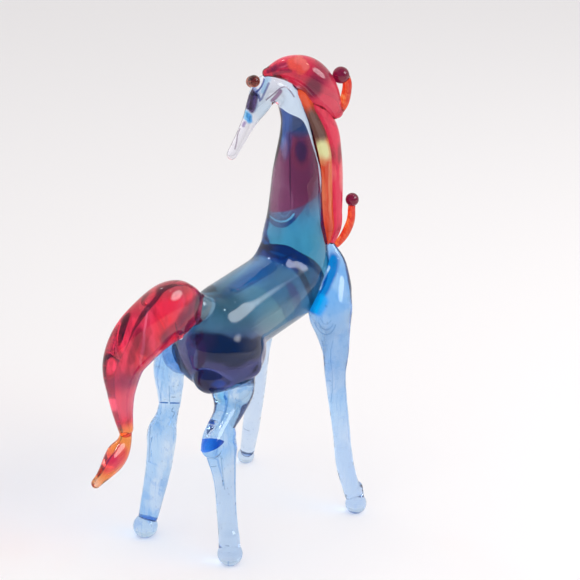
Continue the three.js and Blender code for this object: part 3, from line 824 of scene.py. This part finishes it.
stripe = drawn_rod("cheek_streak", [
    (forehead + up * 0.1, cheek_diameter * 0.62),
    (on_face(0.22), cheek_diameter * 0.58),
    (on_face(0.5), nose_diameter * 0.74),
    (on_face(0.8), nose_diameter * 0.6),
    (on_face(0.98), muzzle_diameter * 0.5),
], across=face_across, sides=40)
melted_on(head, left_eye, right_eye)
head_glass = glass("head_glass", skin_tint, clear_shadow, paint=face_paint)
streak_glass = glass("streak_glass", pure_white, (0.8, 0.8, 0.9), ior=1.0, paint=stripe_paint)
hazel = glass("hazel_glass", (0.42, 0.13, 0.08), (0.5, 0.4, 0.35))
finished(head, head_glass, "sky", "head")
finished(stripe, streak_glass, "plum", "face_stripe")
finished(left_eye, hazel, "hazel", "left_eye")
finished(right_eye, hazel, "hazel", "right_eye")


# The mane.
# Red and orange rods, fused to the crest one over the other: a forelock that is bent over the poll, an
# inner and an outer lock, and two curls that end in beads of garnet glass.
crest_turn = math.radians(-41.3)
mane_rise = 6.4
forelock_diameter, outer_lock_diameter, inner_lock_diameter, lock_spread = 7.2, 3.2, 3.3, 1.6
upper_curl_diameter, upper_bead_diameter = 2.2, 3.6
lower_curl_diameter, lower_bead_diameter = 1.9, 2.9
weld_sink = 0.5
crest_heading = vec(math.cos(crest_turn), math.sin(crest_turn), 0)
crest_across = np.cross(crest_heading, up)


def over_poll(girth, *rows):
    """Stations past the poll, out along the crest and up, with girth times their size."""
    return [
        (poll + crest_heading * forelock_diameter * out + up * forelock_diameter * rise, girth * size)
        for out, rise, size in rows
    ]


crimson, deep_red, plume_shadow = (0.72, 0.025, 0.07), (0.35, 0.004, 0.02), (0.95, 0.5, 0.55)
brown, cream, burnt = (0.16, 0.075, 0.06), (1.0, 0.85, 0.5), (0.12, 0.012, 0.05)
forelock_paint = painter(
    (0.5, 3),
    (streaked, deep_red, 0.6, (1.4, 3, 5)),
    (dabbed, [
        ((8.6, 0, 91), (3.4, 20, 4.4), (0.85, 0.08, 0.14), 0.8, 0.5),
        ((5.4, 0, 93.6), (1.7, 20, 2.4), (0.16, 0.015, 0.05), 0.9, 0.4),
        ((3.2, 0, 91.8), (1.3, 20, 1.6), (0.9, 0.22, 0.05), 0.9, 0.5),
    ]),
    (lined, [
        ([(-4, 96.7), (-2.6, 97.6), (-0.8, 98.4), (0.4, 98.5)], 0.5, burnt, 0.85, 0.5),
        ([(-2.4, 96.3), (-1, 97.2), (0.5, 97.4)], 0.45, burnt, 0.8, 0.5),
        # painted highlight: a pale pink streak of light along the forelock's front
        ([(-1.9, 97.7), (0.3, 98.6)], 0.22, (1.0, 0.7, 0.75), 0.9, 0.5, -4, 4),
        ([(1.2, 98.6), (2.4, 98.6), (3, 97.6)], 1.1, (0.98, 0.3, 0.05), 0.95, 0.4),
        ([(2.2, 99.3), (3.1, 98.9), (3.8, 97.8)], 0.6, (1.0, 0.78, 0.22), 1, 0.5),
    ]),
)
ruby_paint = painter((0.3, 3), (streaked, deep_red, 0.5, (0.8, 3, 7)), (dabbed, [
    ((11.2, 0, 78.4), (0.7, 20, 2.4), brown, 0.9, 0.5),
    ((11.6, 0, 73.8), (0.6, 20, 2.8), cream, 0.8, 0.4),
    ((8.6, 0, 90), (1.6, 20, 3.4), deep_red, 0.5, 0.6),
]))
amber_paint = painter((0.25, 3), (streaked, (0.6, 0.04, 0.01), 0.6, (0.7, 3, 8)), (dabbed, [
    ((4.2, 0, 91.5), (2.2, 20, 3), (0.85, 0.1, 0.03), 0.9, 0.4),
    ((6.2, 0, 84.6), (2.4, 20, 5.4), brown, 1, 0.25),
    ((7.4, 0, 78.8), (1.5, 20, 2.6), (0.85, 0.85, 0.42), 1, 0.3),
    ((9.2, 0, 72), (0.4, 20, 6.5), cream, 0.8, 0.5),
]))
orange_paint = painter(
    (0.4, 2),
    (streaked, (0.75, 0.01, 0.01), 0.8, (0.8, 0.8, 3), 0.45, 0.6),
    # the lighter orange streaks are painted glints
    (streaked, (1, 0.45, 0.15), 0.7, (0.6, 0.6, 2.4), 0.56, 0.66),
    turn=0,
)
ruby = glass("ruby_glass", (0.9, 0.05, 0.11), plume_shadow, paint=ruby_paint)
forelock_glass = glass("forelock_glass", crimson, plume_shadow, paint=forelock_paint)
orange = glass("orange_glass", (0.95, 0.1, 0.02), (0.95, 0.6, 0.45), paint=orange_paint)
amber = glass("amber_glass", (0.76, 0.08, 0.03), (0.9, 0.7, 0.5), paint=amber_paint)
garnet = glass("garnet_glass", (0.22, 0.004, 0.035), (0.4, 0.2, 0.25))
forelock = drawn_rod("forelock", over_poll(
    forelock_diameter,
    (-0.55, 0.62, 0.3), (0, 0.72, 0.73), (0.6, 0.56, 1), (1.09, 0.03, 0.94), (1.5, -0.62, 0.42),
), across=crest_across, spread=1.1)
upper_bead = bead("upper_curl_bead", *over_poll(upper_bead_diameter, (1.63, 0.47, 1))[0])
upper_curl = drawn_rod("upper_curl", over_poll(
    upper_curl_diameter,
    (1.45, -0.7, 1), (1.7, -0.42, 1), (1.8, -0.06, 0.95), (1.82, 0.26, 0.9), (1.73, 0.5, 0.8),
), across=crest_across, sides=40)
mane_length = neck_length - mane_rise


def on_crest(share, lift, diameter):
    """A lock's station on the neck's crest, or on what already lies there."""
    height = poll[2] - mane_length * share
    reach = (height - neck_root[2]) / neck_length
    rows = [row[0] for row in neck_rows]
    nxt = max(1, next(i for i, row in enumerate(rows) if row >= reach))
    place = (nxt - 1 + (reach - rows[nxt - 1]) / (rows[nxt] - rows[nxt - 1])) / (len(rows) - 1)
    centre = curve_through([c for c, _ in neck_stations], [place], True)[0]
    radius = curve_through([np.array([d / 2]) for _, d in neck_stations], [place], False)[0][0]
    out = radius + lift + diameter / 2 - weld_sink
    spot = centre + crest_heading * out
    return vec(spot[0], spot[1], height), diameter


lock_shares = [0.09, 0.25, 0.4, 0.57, 0.75, 0.86, 0.96]
inner_diameters = [inner_lock_diameter * s for s in (0.8, 1, 0.97, 0.85, 0.85, 0.8, 0.4)]
outer_diameters = [outer_lock_diameter * s for s in (1, 1, 0.86, 0.88, 0.78, 0.65, 0.44)]
inner_lock = drawn_rod(
    "inner_lock", [
        on_crest(0, 0, inner_lock_diameter * 0.8),
        *[on_crest(s, 0, d) for s, d in zip(lock_shares, inner_diameters)],
    ],
    across=crest_across, spread=lock_spread,
)
outer_stations = [
    on_crest(s, i - weld_sink, o) for s, i, o in zip(lock_shares, inner_diameters, outer_diameters)
]
outer_lock = drawn_rod("outer_lock", outer_stations, across=crest_across, spread=lock_spread)
curl_root = outer_stations[-2][0]


def off_tip(girth, *rows):
    """Stations of the lower curl, out from the outer lock's tip and up."""
    return [
        (curl_root + (crest_heading * out + up * rise) * lower_curl_diameter, girth * size)
        for out, rise, size in rows
    ]


lower_curl = drawn_rod("lower_curl", off_tip(
    lower_curl_diameter,
    (0.04, -2.2, 0.8), (0.69, -1.47, 0.9), (1.19, -0.61, 1), (1.64, 0.67, 0.95), (1.71, 2.24, 0.85),
    (1.75, 2.8, 0.8),
), across=crest_across, sides=40)
lower_bead = bead("lower_curl_bead", *off_tip(lower_bead_diameter, (1.76, 3.03, 1))[0])
melted_on(inner_lock, body_shape)
melted_on(forelock, body_shape, inner_lock, left_eye, right_eye)
melted_on(outer_lock, body_shape, inner_lock, forelock)
melted_on(upper_curl, forelock, upper_bead)
melted_on(lower_curl, outer_lock, inner_lock, lower_bead)
for piece, material, slot, node in (
    (forelock, forelock_glass, "ruby", "mane_forelock"),
    (upper_curl, orange, "orange", "mane_upper_curl"),
    (upper_bead, garnet, "garnet", "mane_upper_bead"),
    (inner_lock, amber, "amber", "mane_inner_lock"),
    (outer_lock, ruby, "ruby", "mane_outer_lock"),
    (lower_curl, orange, "orange", "mane_lower_curl"),
    (lower_bead, garnet, "garnet", "mane_lower_bead"),
):
    finished(piece, material, slot, node)


# The tail.
# A clear collar on the croup carries a plume of ruby glass, pressed flat and twisted while it was soft.
# Its tip is orange glass, drawn out and flicked back.
collar_diameter, collar_length = 6.9, 6
tail_reach, tail_drop, tail_swing = 30, 30, 7
tail_width, tail_thickness, tip_diameter, tip_spread = 12.1, 8, 4.5, 0.8
tail_root = croup - ahead * barrel_diameter * 0.25 + up * barrel_diameter * 0.14


def on_tail(girth, *rows):
    """Stations of the tail, by how far back, down and to the left they lie, with girth times a size."""
    return [
        (tail_root - vec(tail_reach * reach, -tail_swing * swing, tail_drop * drop), girth * size)
        for reach, drop, swing, size in rows
    ]


collar_line = unit(vec(-1, 0, 0.65))
collar = drawn_rod("tail_root", [
    (tail_root, collar_diameter),
    (tail_root + collar_line * collar_length, collar_diameter * 0.85),
])


def pressed(share, angle):
    """The creases that the plume got when it was pressed flat and twisted while soft."""
    fade = math.sin(math.pi * min(share * 1.25 + 0.05, 1)) if share < 0.76 else 0
    twist = 2.2 * share
    folds = 0.045 * math.cos(3 * (angle - twist)) + 0.014 * math.cos(5 * (angle + 1.4 * twist) + 1)
    return 1 + fade * (folds + 0.02 * math.sin(9 * share + 2 * angle))


def twisted(share, angle):
    """The twist in the tail's tip."""
    fade = math.sin(math.pi * share) ** 0.5 if 0 < share < 1 else 0
    return 1 + fade * (0.09 * math.cos(2 * angle - 7 * share) + 0.03 * math.cos(3 * angle + 9 * share))


plume = drawn_rod("plume", on_tail(
    tail_width,
    (0.2, -0.11, 0, 0.58), (0.275, -0.135, 0.04, 0.84), (0.395, -0.145, 0.17, 1.12),
    (0.575, -0.004, 0.54, 1.1), (0.7, 0.167, 0.79, 0.9), (0.71, 0.377, 0.93, 0.6),
    (0.69, 0.547, 1, 0.42), (0.667, 0.687, 1, 0.3),
), spread=tail_thickness / tail_width, sides=96, form=pressed)
tip = drawn_rod("plume_tip", on_tail(
    tip_diameter,
    (0.667, 0.7, 1, 0.6), (0.683, 0.767, 1, 0.68), (0.747, 0.84, 1, 1.08), (0.82, 0.895, 1, 1.12),
    (0.885, 0.94, 1, 0.8), (0.935, 0.968, 1, 0.56), (0.97, 0.983, 1, 0.5),
), spread=tip_spread, form=twisted)


wine, hot_orange = (0.16, 0.012, 0.06), (0.98, 0.3, 0.05)
plume_paint = painter(
    (0.9, 4),
    (streaked, deep_red, 0.75, (1.5, 4, 6), 0.45, 0.62),
    (streaked, (0.95, 0.02, 0.04), 0.7, (1.2, 4, 5), 0.55, 0.66),
    (dabbed, [
        # the olive-brown dab on the plume's top is partly darker red glass and partly a painted sheen of
        # soft reflection
        ((-22.8, 0, 60), (5, through, 1.8), (0.3, 0.14, 0.1), 0.85, 0.5),
        ((-29, 0, 57.5), (2, through, 3), (0.45, 0.1, 0.08), 0.7, 0.5),
        ((-25.4, 0, 53), (1.3, through, 4), (0.95, 0.01, 0.03), 0.8, 0.5),
        ((-33.2, 0, 41.2), (3.2, through, 2.2), (0.3, 0.03, 0.1), 0.75, 0.5),
        ((-33, 0, 36), (3, through, 3.6), (0.8, 0.1, 0.17), 0.8, 0.5),
        ((-33, 0, 26.6), (3.4, through, 3.4), hot_orange, 0.95, 0.5),
    ]),
    (lined, [
        ([(-18.6, 56), (-20.5, 54.6), (-22.5, 52.4), (-24, 50)], 1.1, wine, 0.9, 0.5),
        ([(-19.4, 52), (-21.4, 50.6)], 0.8, wine, 0.85, 0.5),
        # painted shade: a dark red line down a fold of the plume
        ([(-29.4, 52), (-30.4, 49), (-31, 46.5)], 0.9, (0.22, 0.0, 0.02), 0.85, 0.45),
        # painted highlight: a thin pale pink streak along the plume's ridge
        ([(-27.6, 57), (-28.2, 52.5), (-29.2, 45)], 0.22, (1.0, 0.5, 0.6), 0.7, 0.5, -36, 5),
    ]),
)
tip_paint = painter((0.4, 2), (dabbed, [
    ((-33, 0, 29), (3, through, 3), (0.98, 0.32, 0.06), 0.9, 0.5),
    ((-36.3, 0, 24), (2.3, through, 2.1), (0.8, 0.03, 0.09), 1, 0.35),
    ((-40.5, 0, 20), (2.2, through, 1.9), (0.98, 0.62, 0.45), 0.9, 0.5),
]))
plume_glass = glass("plume_glass", (0.85, 0.04, 0.1), plume_shadow, paint=plume_paint)
tip_glass = glass("tip_glass", (0.98, 0.28, 0.06), (0.95, 0.6, 0.45), paint=tip_paint)
collar_glass = glass("collar_glass", (0.4, 0.76, 0.97), (0.8, 0.9, 0.95), clear=0.8)
melted_on(collar, body_shape)
melted_on(plume, collar, body_shape)
melted_on(tip, plume)
finished(collar, collar_glass, "sky", "tail_collar")
finished(plume, plume_glass, "ruby", "tail_plume")
finished(tip, tip_glass, "orange", "tail_tip")


# The legs.
# Rods of pale blue glass with a few seeds and threads in them. Each foreleg is one rod from the breast
# down, each hind leg is welded at the hock, and every foot is a bead pressed flat on the table.
shoulder_diameter, knee_diameter = 9.6, 3.9
left_fore_splay, left_fore_step = 18, 4.3
right_fore_hoof_diameter, left_fore_hoof_diameter = 4.7, 3.9
wheelbase = 35.6
thigh_diameter, hock_diameter, cannon_diameter = 9.2, 6.8, 4.4
right_hind_splay, left_hind_splay, left_hind_step = 11.5, 10.8, 2
right_weld_height, left_weld_height = 26.5, 29
hind_hoof_diameter, sole_cut = 5.3, 0.35


def on_table(x, y, diameter):
    return vec(x, y, diameter / 2 - sole_cut)


right_fore_hoof = on_table(neck_root[0], -right_fore_splay, right_fore_hoof_diameter)
left_fore_hoof = on_table(neck_root[0] + left_fore_step, left_fore_splay, left_fore_hoof_diameter)
right_hind_hoof = on_table(neck_root[0] - wheelbase, -right_hind_splay, hind_hoof_diameter)
left_hind_hoof = on_table(
    neck_root[0] - wheelbase - left_hind_step, left_hind_splay, hind_hoof_diameter,
)


def between(start, end, bow, thick, thin, *rows):
    """Stations from start to end. A row is the share of the way, how much of bow it bends out, and how
    much of the thicknesses thick and thin it has."""
    return [
        (start + (end - start) * share + bow * bend, thick * more + thin * less)
        for share, bend, more, less in rows
    ]


def shoulder(side, width):
    return (
        chest + ahead * barrel_diameter * 0.2
        + leftward * side * (barrel_diameter * 0.29 + width * 0.47)
        - up * barrel_diameter * 0.33
    )


def on_breast(start, side, forward, inward, rise, diameter):
    return (
        start + ahead * shoulder_diameter * forward - leftward * side * shoulder_diameter * inward
        + up * shoulder_diameter * rise,
        diameter,
    )


right_shoulder = shoulder(-1, shoulder_diameter)
right_foreleg = drawn_rod("right_foreleg", [
    on_breast(right_shoulder, -1, 0.52, 0.39, 1.3, shoulder_diameter * 0.2),
    on_breast(right_shoulder, -1, 0.52, 0.26, 0.97, shoulder_diameter * 0.44),
    on_breast(right_shoulder, -1, 0.27, 0.1, 0.56, shoulder_diameter * 0.77),
    *between(
        right_shoulder, right_fore_hoof, vec(-knee_diameter / 2, 0, 0), shoulder_diameter, knee_diameter,
        (0, 0, 1, 0), (0.12, 0, 0.77, 0), (0.21, 0, 0.43, 0.43), (0.32, 0.6, 0, 1.18),
        (0.6, 0.85, 0, 0.98), (0.78, 1, 0, 1), (0.94, 0.3, 0, 0.98),
    ),
])
left_shoulder = shoulder(1, shoulder_diameter * 0.8)
left_bow = vec(-knee_diameter / 2, -knee_diameter / 2, 0)
left_foreleg = drawn_rod("left_foreleg", [
    on_breast(left_shoulder, 1, 0.15, 0.3, 0.9, shoulder_diameter * 0.3),
    on_breast(left_shoulder, 1, 0.1, 0.1, 0.5, shoulder_diameter * 0.6),
    *between(
        left_shoulder, left_fore_hoof, left_bow, shoulder_diameter, knee_diameter,
        (0, 0, 0.8, 0), (0.14, 0.4, 0.62, 0), (0.3, 0.8, 0, 1.05), (0.55, 1, 0, 1.05),
        (0.8, 0.8, 0, 1), (0.95, 0.5, 0, 0.85),
    ),
])
right_hip = haunch - leftward * haunch_diameter * 0.2 - up * haunch_diameter * 0.3
right_weld = vec(
    right_hind_hoof[0] - hock_diameter * 0.26,
    right_hind_hoof[1] + hock_diameter * 0.47,
    right_weld_height,
)
thigh_end = right_weld + vec(-0.4, -0.4, 0)
thigh_bow = vec(0.5, -0.6, -thigh_diameter / 5)
right_thigh = drawn_rod("right_thigh", between(
    right_hip, thigh_end, thigh_bow, thigh_diameter, 0,
    (0, 0, 1, 0), (0.17, 0.7, 0.98, 0), (0.34, 1, 0.74, 0), (0.52, 0.8, 0.61, 0),
    (0.7, 0.35, 0.58, 0), (0.89, 0, 0.56, 0), (1, 0, 0.5, 0),
))
right_hock = right_weld + ahead * hock_diameter * 0.53 + up * hock_diameter * 0.15 + vec(0.9, 0.7, 0)
right_cannon = drawn_rod("right_cannon", between(
    right_hock, right_hind_hoof, vec(-hock_diameter / 8, 0, 0), hock_diameter, cannon_diameter,
    (0, 0, 0.8, 0), (0.1, 1, 1, 0), (0.17, 1, 0.92, 0), (0.29, 0.55, 0.47, 0.47),
    (0.41, 0.33, 0, 1.04), (0.61, 0.33, 0, 0.96), (0.93, 0, 0, 1),
))
left_hip = haunch - ahead * haunch_diameter * 0.17 + leftward * haunch_diameter * 0.28
left_weld = vec(
    left_hind_hoof[0] + hock_diameter * 0.82,
    left_hind_hoof[1] - hock_diameter * 0.37,
    left_weld_height,
)
left_thigh = drawn_rod("left_thigh", between(
    left_hip, left_weld, vec(-thigh_diameter * 0.4, thigh_diameter / 18, 0), thigh_diameter, 0,
    (0, 0, 0.8, 0), (0.22, 1, 0.74, 0), (0.43, 0.8, 0.7, 0), (0.7, 0.36, 0.6, 0), (0.95, 0, 0.5, 0),
))
left_cannon = drawn_rod("left_cannon", [
    *between(
        left_weld, left_hind_hoof, vec(0, 0, 0), thigh_diameter, 0,
        (-0.02, 0, 0.48, 0), (0.08, 0, 0.5, 0),
    ),
    *between(
        left_weld, left_hind_hoof, vec(-hock_diameter / 11, 0, 0), hock_diameter, cannon_diameter,
        (0.14, 0.7, 0.82, 0), (0.2, 1, 0.92, 0), (0.27, 0.5, 0.92, 0), (0.33, 0, 0.88, 0),
        (0.47, -0.8, 0.5, 0.5), (0.62, -1, 0, 1.18), (0.76, -0.8, 0, 1.08), (0.92, -0.6, 0, 0.96),
    ),
])


def hoof(name, centre, diameter):
    ball = bead(name, centre, diameter)
    flat = np.zeros(len(ball.data.vertices) * 3)
    ball.data.vertices.foreach_get("co", flat)
    flat[2::3] = np.maximum(flat[2::3], 0)
    ball.data.vertices.foreach_set("co", flat)
    return ball


right_fore_ball = hoof("right_fore_hoof", right_fore_hoof, right_fore_hoof_diameter)
left_fore_ball = hoof("left_fore_hoof", left_fore_hoof, left_fore_hoof_diameter)
right_hind_ball = hoof("right_hind_hoof", right_hind_hoof, hind_hoof_diameter)
left_hind_ball = hoof("left_hind_hoof", left_hind_hoof, hind_hoof_diameter)
ripple_size, lift_off = 2.4, 0.1


def rippled(piece, depth):
    """Gives a piece the slight unevenness of glass drawn by hand, and stands it flat on the table."""
    ripple = bpy.data.textures.new(piece.name + "_ripple", "CLOUDS")
    ripple.noise_scale = ripple_size * MM
    shift = piece.modifiers.new("ripple", "DISPLACE")
    shift.texture = ripple
    shift.texture_coords = "LOCAL"
    shift.strength = depth * MM
    settled(piece)
    flat = np.zeros(len(piece.data.vertices) * 3)
    piece.data.vertices.foreach_get("co", flat)
    flat[2::3] = np.where(flat[2::3] < lift_off * MM, 0, flat[2::3])
    piece.data.vertices.foreach_set("co", flat)


leg_grain = 0.18
fore_cuff = drawn_rod("fore_cuff", [
    (right_fore_hoof + vec(-0.2, 0.2, 3.6), 3.7), (right_fore_hoof + vec(-0.2, 0.1, 1.2), 4.1),
    (right_fore_hoof + vec(0, 0, 0.2), 4),
])
hind_cuff = drawn_rod("hind_cuff", [
    (right_hind_hoof + vec(0, 0.1, 4), 4.3), (right_hind_hoof + vec(0, 0.1, 1.6), 4.6),
    (right_hind_hoof + vec(0, 0, 0.2), 4.6),
])
right_foreleg = fused("right_foreleg", [right_foreleg, fore_cuff, right_fore_ball], leg_grain, 10, [
    (right_fore_hoof + up * 2.1, 3.2, 60),
])
left_foreleg = fused("left_foreleg", [left_foreleg], leg_grain, 6)
hind_parts = [right_thigh, right_cannon, hind_cuff, right_hind_ball]
right_thigh = fused("right_thigh", hind_parts, leg_grain, 12, [
    (right_weld + vec(-1.5, 0.5, 3), 7, 220), (right_weld + vec(3, 1, 4), 4, 60),
    (right_hind_hoof + up * 2.4, 3.4, 90),
])
left_thigh = fused("left_thigh", [left_thigh, left_cannon], leg_grain, 12)
for leg, depth in ((right_foreleg, 0.1), (left_foreleg, 0.1), (right_thigh, 0.05), (left_thigh, 0.12)):
    rippled(leg, depth)
melted_on(right_foreleg, body_shape, inner_lock, outer_lock)
melted_on(left_foreleg, body_shape, left_fore_ball)
melted_on(right_thigh, body_shape)
melted_on(left_thigh, body_shape, left_hind_ball)
right_cannon = parted(right_thigh, "right_cannon", right_weld, -up)
left_cannon = parted(left_thigh, "left_cannon", left_weld, -up)
fore_ankle = right_fore_hoof + up * right_fore_hoof_diameter * 0.4
hind_ankle = right_hind_hoof + up * hind_hoof_diameter * 0.4
right_fore_ball = parted(right_foreleg, "right_fore_hoof", fore_ankle, -up)
right_hind_ball = parted(right_cannon, "right_hind_hoof", hind_ankle, -up)


def seam(name, centre, facing, radius, thickness):
    """The thin blue face of a weld, which shows inside the clear glass."""
    facing = unit(facing)
    one = unit(np.cross(facing, vec(0.2, 0.9, 0.4)))
    two = np.cross(facing, one)
    lens = bead(name, vec(0, 0, 0), 2, sides=40)
    for corner in lens.data.vertices:
        x, y, z = (corner.co / MM) - chest_spot
        corner.co = placed(centre + radius * (one * x + two * y) + facing * z * thickness / 2)
    return lens


seam_paint = painter(None, (dabbed, [((-15.8, 0, 25.3), (3, through, 1.3), (0.08, 0.4, 1.0), 1, 0.5)]))
sky, azure, swirl = (0.34, 0.6, 0.93), (0.16, 0.46, 0.93), (0.05, 0.2, 0.55)
sole, weld = (0.02, 0.08, 0.35), (0.0, 0.04, 0.32)


def seeded(tree, points, colour, tint, solid, spacing, size):
    """Seeds: tiny bubbles that were drawn out upright in the glass, about spacing apart, size across."""
    lie = vector_step(tree, "DIVIDE", points, (spacing, spacing, spacing * 2.5))
    cells = node_of(tree, "ShaderNodeTexVoronoi", {"Vector": lie, "Scale": 1})
    edge = eased(
        tree, cells.outputs["Distance"], size / spacing * 0.35, size / spacing * 0.65, solid, 0,
    )
    return blended(tree, edge, colour, tint)


sky_paint = painter(
    (0.5, 3),
    (streaked, (0.7, 0.84, 0.98), 0.8, (3.4, 3.4, 11), 0.46, 0.62),
    (streaked, (0.16, 0.42, 0.86), 0.6, (0.5, 0.5, 7), 0.54, 0.66),
    (dabbed, [
        ((5, 15, 22), (6, 9, 26), (0.68, 0.79, 0.93), 0.8, 0.3),
        ((-33.1, -11, 10), (6, 6, 15), (0.6, 0.74, 0.9), 0.75, 0.3),
    ]),
    (seeded, (0.05, 0.14, 0.36), 0.7, 0.8, 0.16),
    turn=0,
)
shoulder_base = painter((0.3, 2), (dabbed, [
    ((3, -10, 51), (7, 7, 8), azure, 1, 0.45),
    ((3.6, -11, 51), (1.6, 2, 3.4), (0.5, 0.75, 1.0), 0.8, 0.5),
    ((0, -12.5, 37), (4.5, 5, 9), (0.22, 0.4, 0.74), 0.75, 0.6),
    ((1, -17, 8), (5, 5, 22), (0.6, 0.74, 0.95), 0.6, 0.4),
    ((0.8, -17.6, 0.2), (2.4, 2.4, 0.7), sole, 0.9, 0.4),
]), over=sky_paint, turn=0)
shoulder_paint = painter((0.12, 1.5), (lined, [
    ([(9.9, 55.8), (8.3, 52.8), (6.8, 50.2), (5.4, 47)], 1.7, deep_blue, 1, 0.25, -4, 7),
    ([(7.8, 48.8), (6.7, 46.4)], 1, (0.0, 0.3, 1.0), 0.95, 0.5, -6.5, 4),
    # painted highlight: a thin near-white line beside the deep blue band
    ([(9, 54.4), (7.9, 52.7), (7, 50.6)], 0.17, (0.8, 0.98, 1.0), 0.9, 0.5, -4, 6),
    *[(spots, girth, swirl, solid, 0.5, -8, 4) for spots, girth, solid in (
        ([(5.8, 43.7), (6.6, 42.2), (8, 41.3), (9.4, 42), (10.2, 43.7)], 0.14, 0.8),
        ([(6.6, 44), (7.4, 42.9), (8.3, 42.5), (9.2, 43), (9.7, 44)], 0.11, 0.7),
        ([(7, 45), (8.2, 43.7), (9.3, 44.8)], 0.1, 0.7),
        ([(7.4, 39.6), (8, 36), (7.8, 32), (8.6, 28)], 0.12, 0.7),
        ([(9.8, 40), (9.2, 36.5), (9.8, 31), (9.4, 26)], 0.1, 0.6),
    )],
]), over=shoulder_base)
hip_base = painter((0.3, 2), (dabbed, [
    ((-30.2, -5.6, 35), (1.8, 3, 1.3), (0.0, 0.5, 1.0), 1, 0.5),
    (right_weld - up, (4, 4, 1.4), (0.2, 0.5, 0.95), 0.7, 0.5),
    (right_hind_hoof - up * 2.4, (2.6, 2.6, 0.8), sole, 0.9, 0.4),
]), over=sky_paint, turn=0)
hip_paint = painter(None, (lined, [
    ([(-12, 36), (-12.5, 33), (-13.4, 31.3), (-14.7, 30.3)], 0.2, (0.12, 0.3, 0.55), 0.8, 0.6, -29, 4),
    ([(-15.2, 34), (-14.2, 33.8)], 0.4, (0.55, 0.92, 1.0), 0.9, 0.5, -26, 4),
    ([(-12.9, 34.9), (-12.7, 34.6)], 0.3, (0.0, 0.1, 0.5), 0.9, 0.5, -26, 4),
    ([(-14.7, 35.5), (-12.6, 36.4), (-9.8, 37.3), (-7, 37.6)], 0.2, (0.5, 0.92, 1.0), 0.9, 0.5, -25, 4),
    ([(-13.6, 24.6), (-13.3, 20.6), (-12.9, 17)], 0.14, (0.1, 0.25, 0.5), 0.8, 0.5, -34.5, 2.5),
]), over=hip_base)
front = (-21.5, 3)
hock_paint = painter(None, (lined, [
    ([(-27.3, 30.3), (-26.2, 30.9), (-25.2, 31.05)], 0.22, weld, 1, 0.3, *front),
    ([(-24.5, 31), (-23.4, 30.8), (-22.4, 30.1)], 0.22, weld, 1, 0.3, *front),
    ([(-24.6, 35.5), (-24.7, 31.4)], 0.13, (0.1, 0.28, 0.6), 0.8, 0.6, *front),
    ([(-26, 36.5), (-26.5, 33.5), (-26.6, 31.4)], 0.24, (0.15, 0.38, 0.75), 0.7, 0.6, *front),
    ([(-24, 29.7), (-24.4, 28.9), (-23.8, 28.4), (-24.2, 27.4)], 0.12,
     (0.03, 0.1, 0.3), 0.85, 0.5, *front),
    ([(-28.9, 25.6), (-29.2, 21), (-29.4, 17.4)], 0.13, (0.08, 0.2, 0.45), 0.8, 0.5, *front),
]), over=sky_paint)
sole_paint = painter(None, (dabbed, [
    (left_hind_hoof - up * 2.4, (2.6, 2.6, 0.8), sole, 0.9, 0.4),
    (left_fore_hoof - up * 1.8, (2, 2, 0.7), sole, 0.9, 0.4),
]), over=sky_paint, turn=0)
sky_glass = glass("sky_glass", sky, clear_shadow, paint=sky_paint)
seam_glass = glass("seam_glass", (0.0, 0.1, 0.5), (0.6, 0.7, 0.9), ior=1.0, paint=seam_paint)
shoulder_glass = glass("shoulder_glass", sky, clear_shadow, paint=shoulder_paint)
hock_glass = glass("hock_glass", sky, clear_shadow, paint=hock_paint)
hip_glass = glass("hip_glass", sky, clear_shadow, paint=hip_paint)
hoof_glass = glass("hoof_glass", (0.5, 0.72, 0.95), clear_shadow, paint=sole_paint)
seam_facing, seam_radius, seam_thickness = vec(-0.2409, 0.2805, 0.993), 2.3, 0.35
hock_seam = seam(
    "right_hock_seam", right_weld + vec(0.1, 0.1, 0), seam_facing, seam_radius, seam_thickness,
)
finished(hock_seam, seam_glass, "sky")
for piece, material, node in (
    (right_foreleg, shoulder_glass, "front_right_leg"),
    (left_foreleg, sky_glass, "front_left_leg"),
    (right_thigh, hip_glass, "hind_right_thigh"),
    (left_thigh, hock_glass, "hind_left_thigh"),
    (right_cannon, hip_glass, "hind_right_cannon"),
    (left_cannon, hock_glass, "hind_left_cannon"),
    (right_fore_ball, shoulder_glass, "front_right_hoof"),
    (left_fore_ball, hoof_glass, "front_left_hoof"),
    (right_hind_ball, hip_glass, "hind_right_hoof"),
    (left_hind_ball, hoof_glass, "hind_left_hoof"),
):
    finished(piece, material, "sky", node)

bpy.data.objects.remove(body_shape)
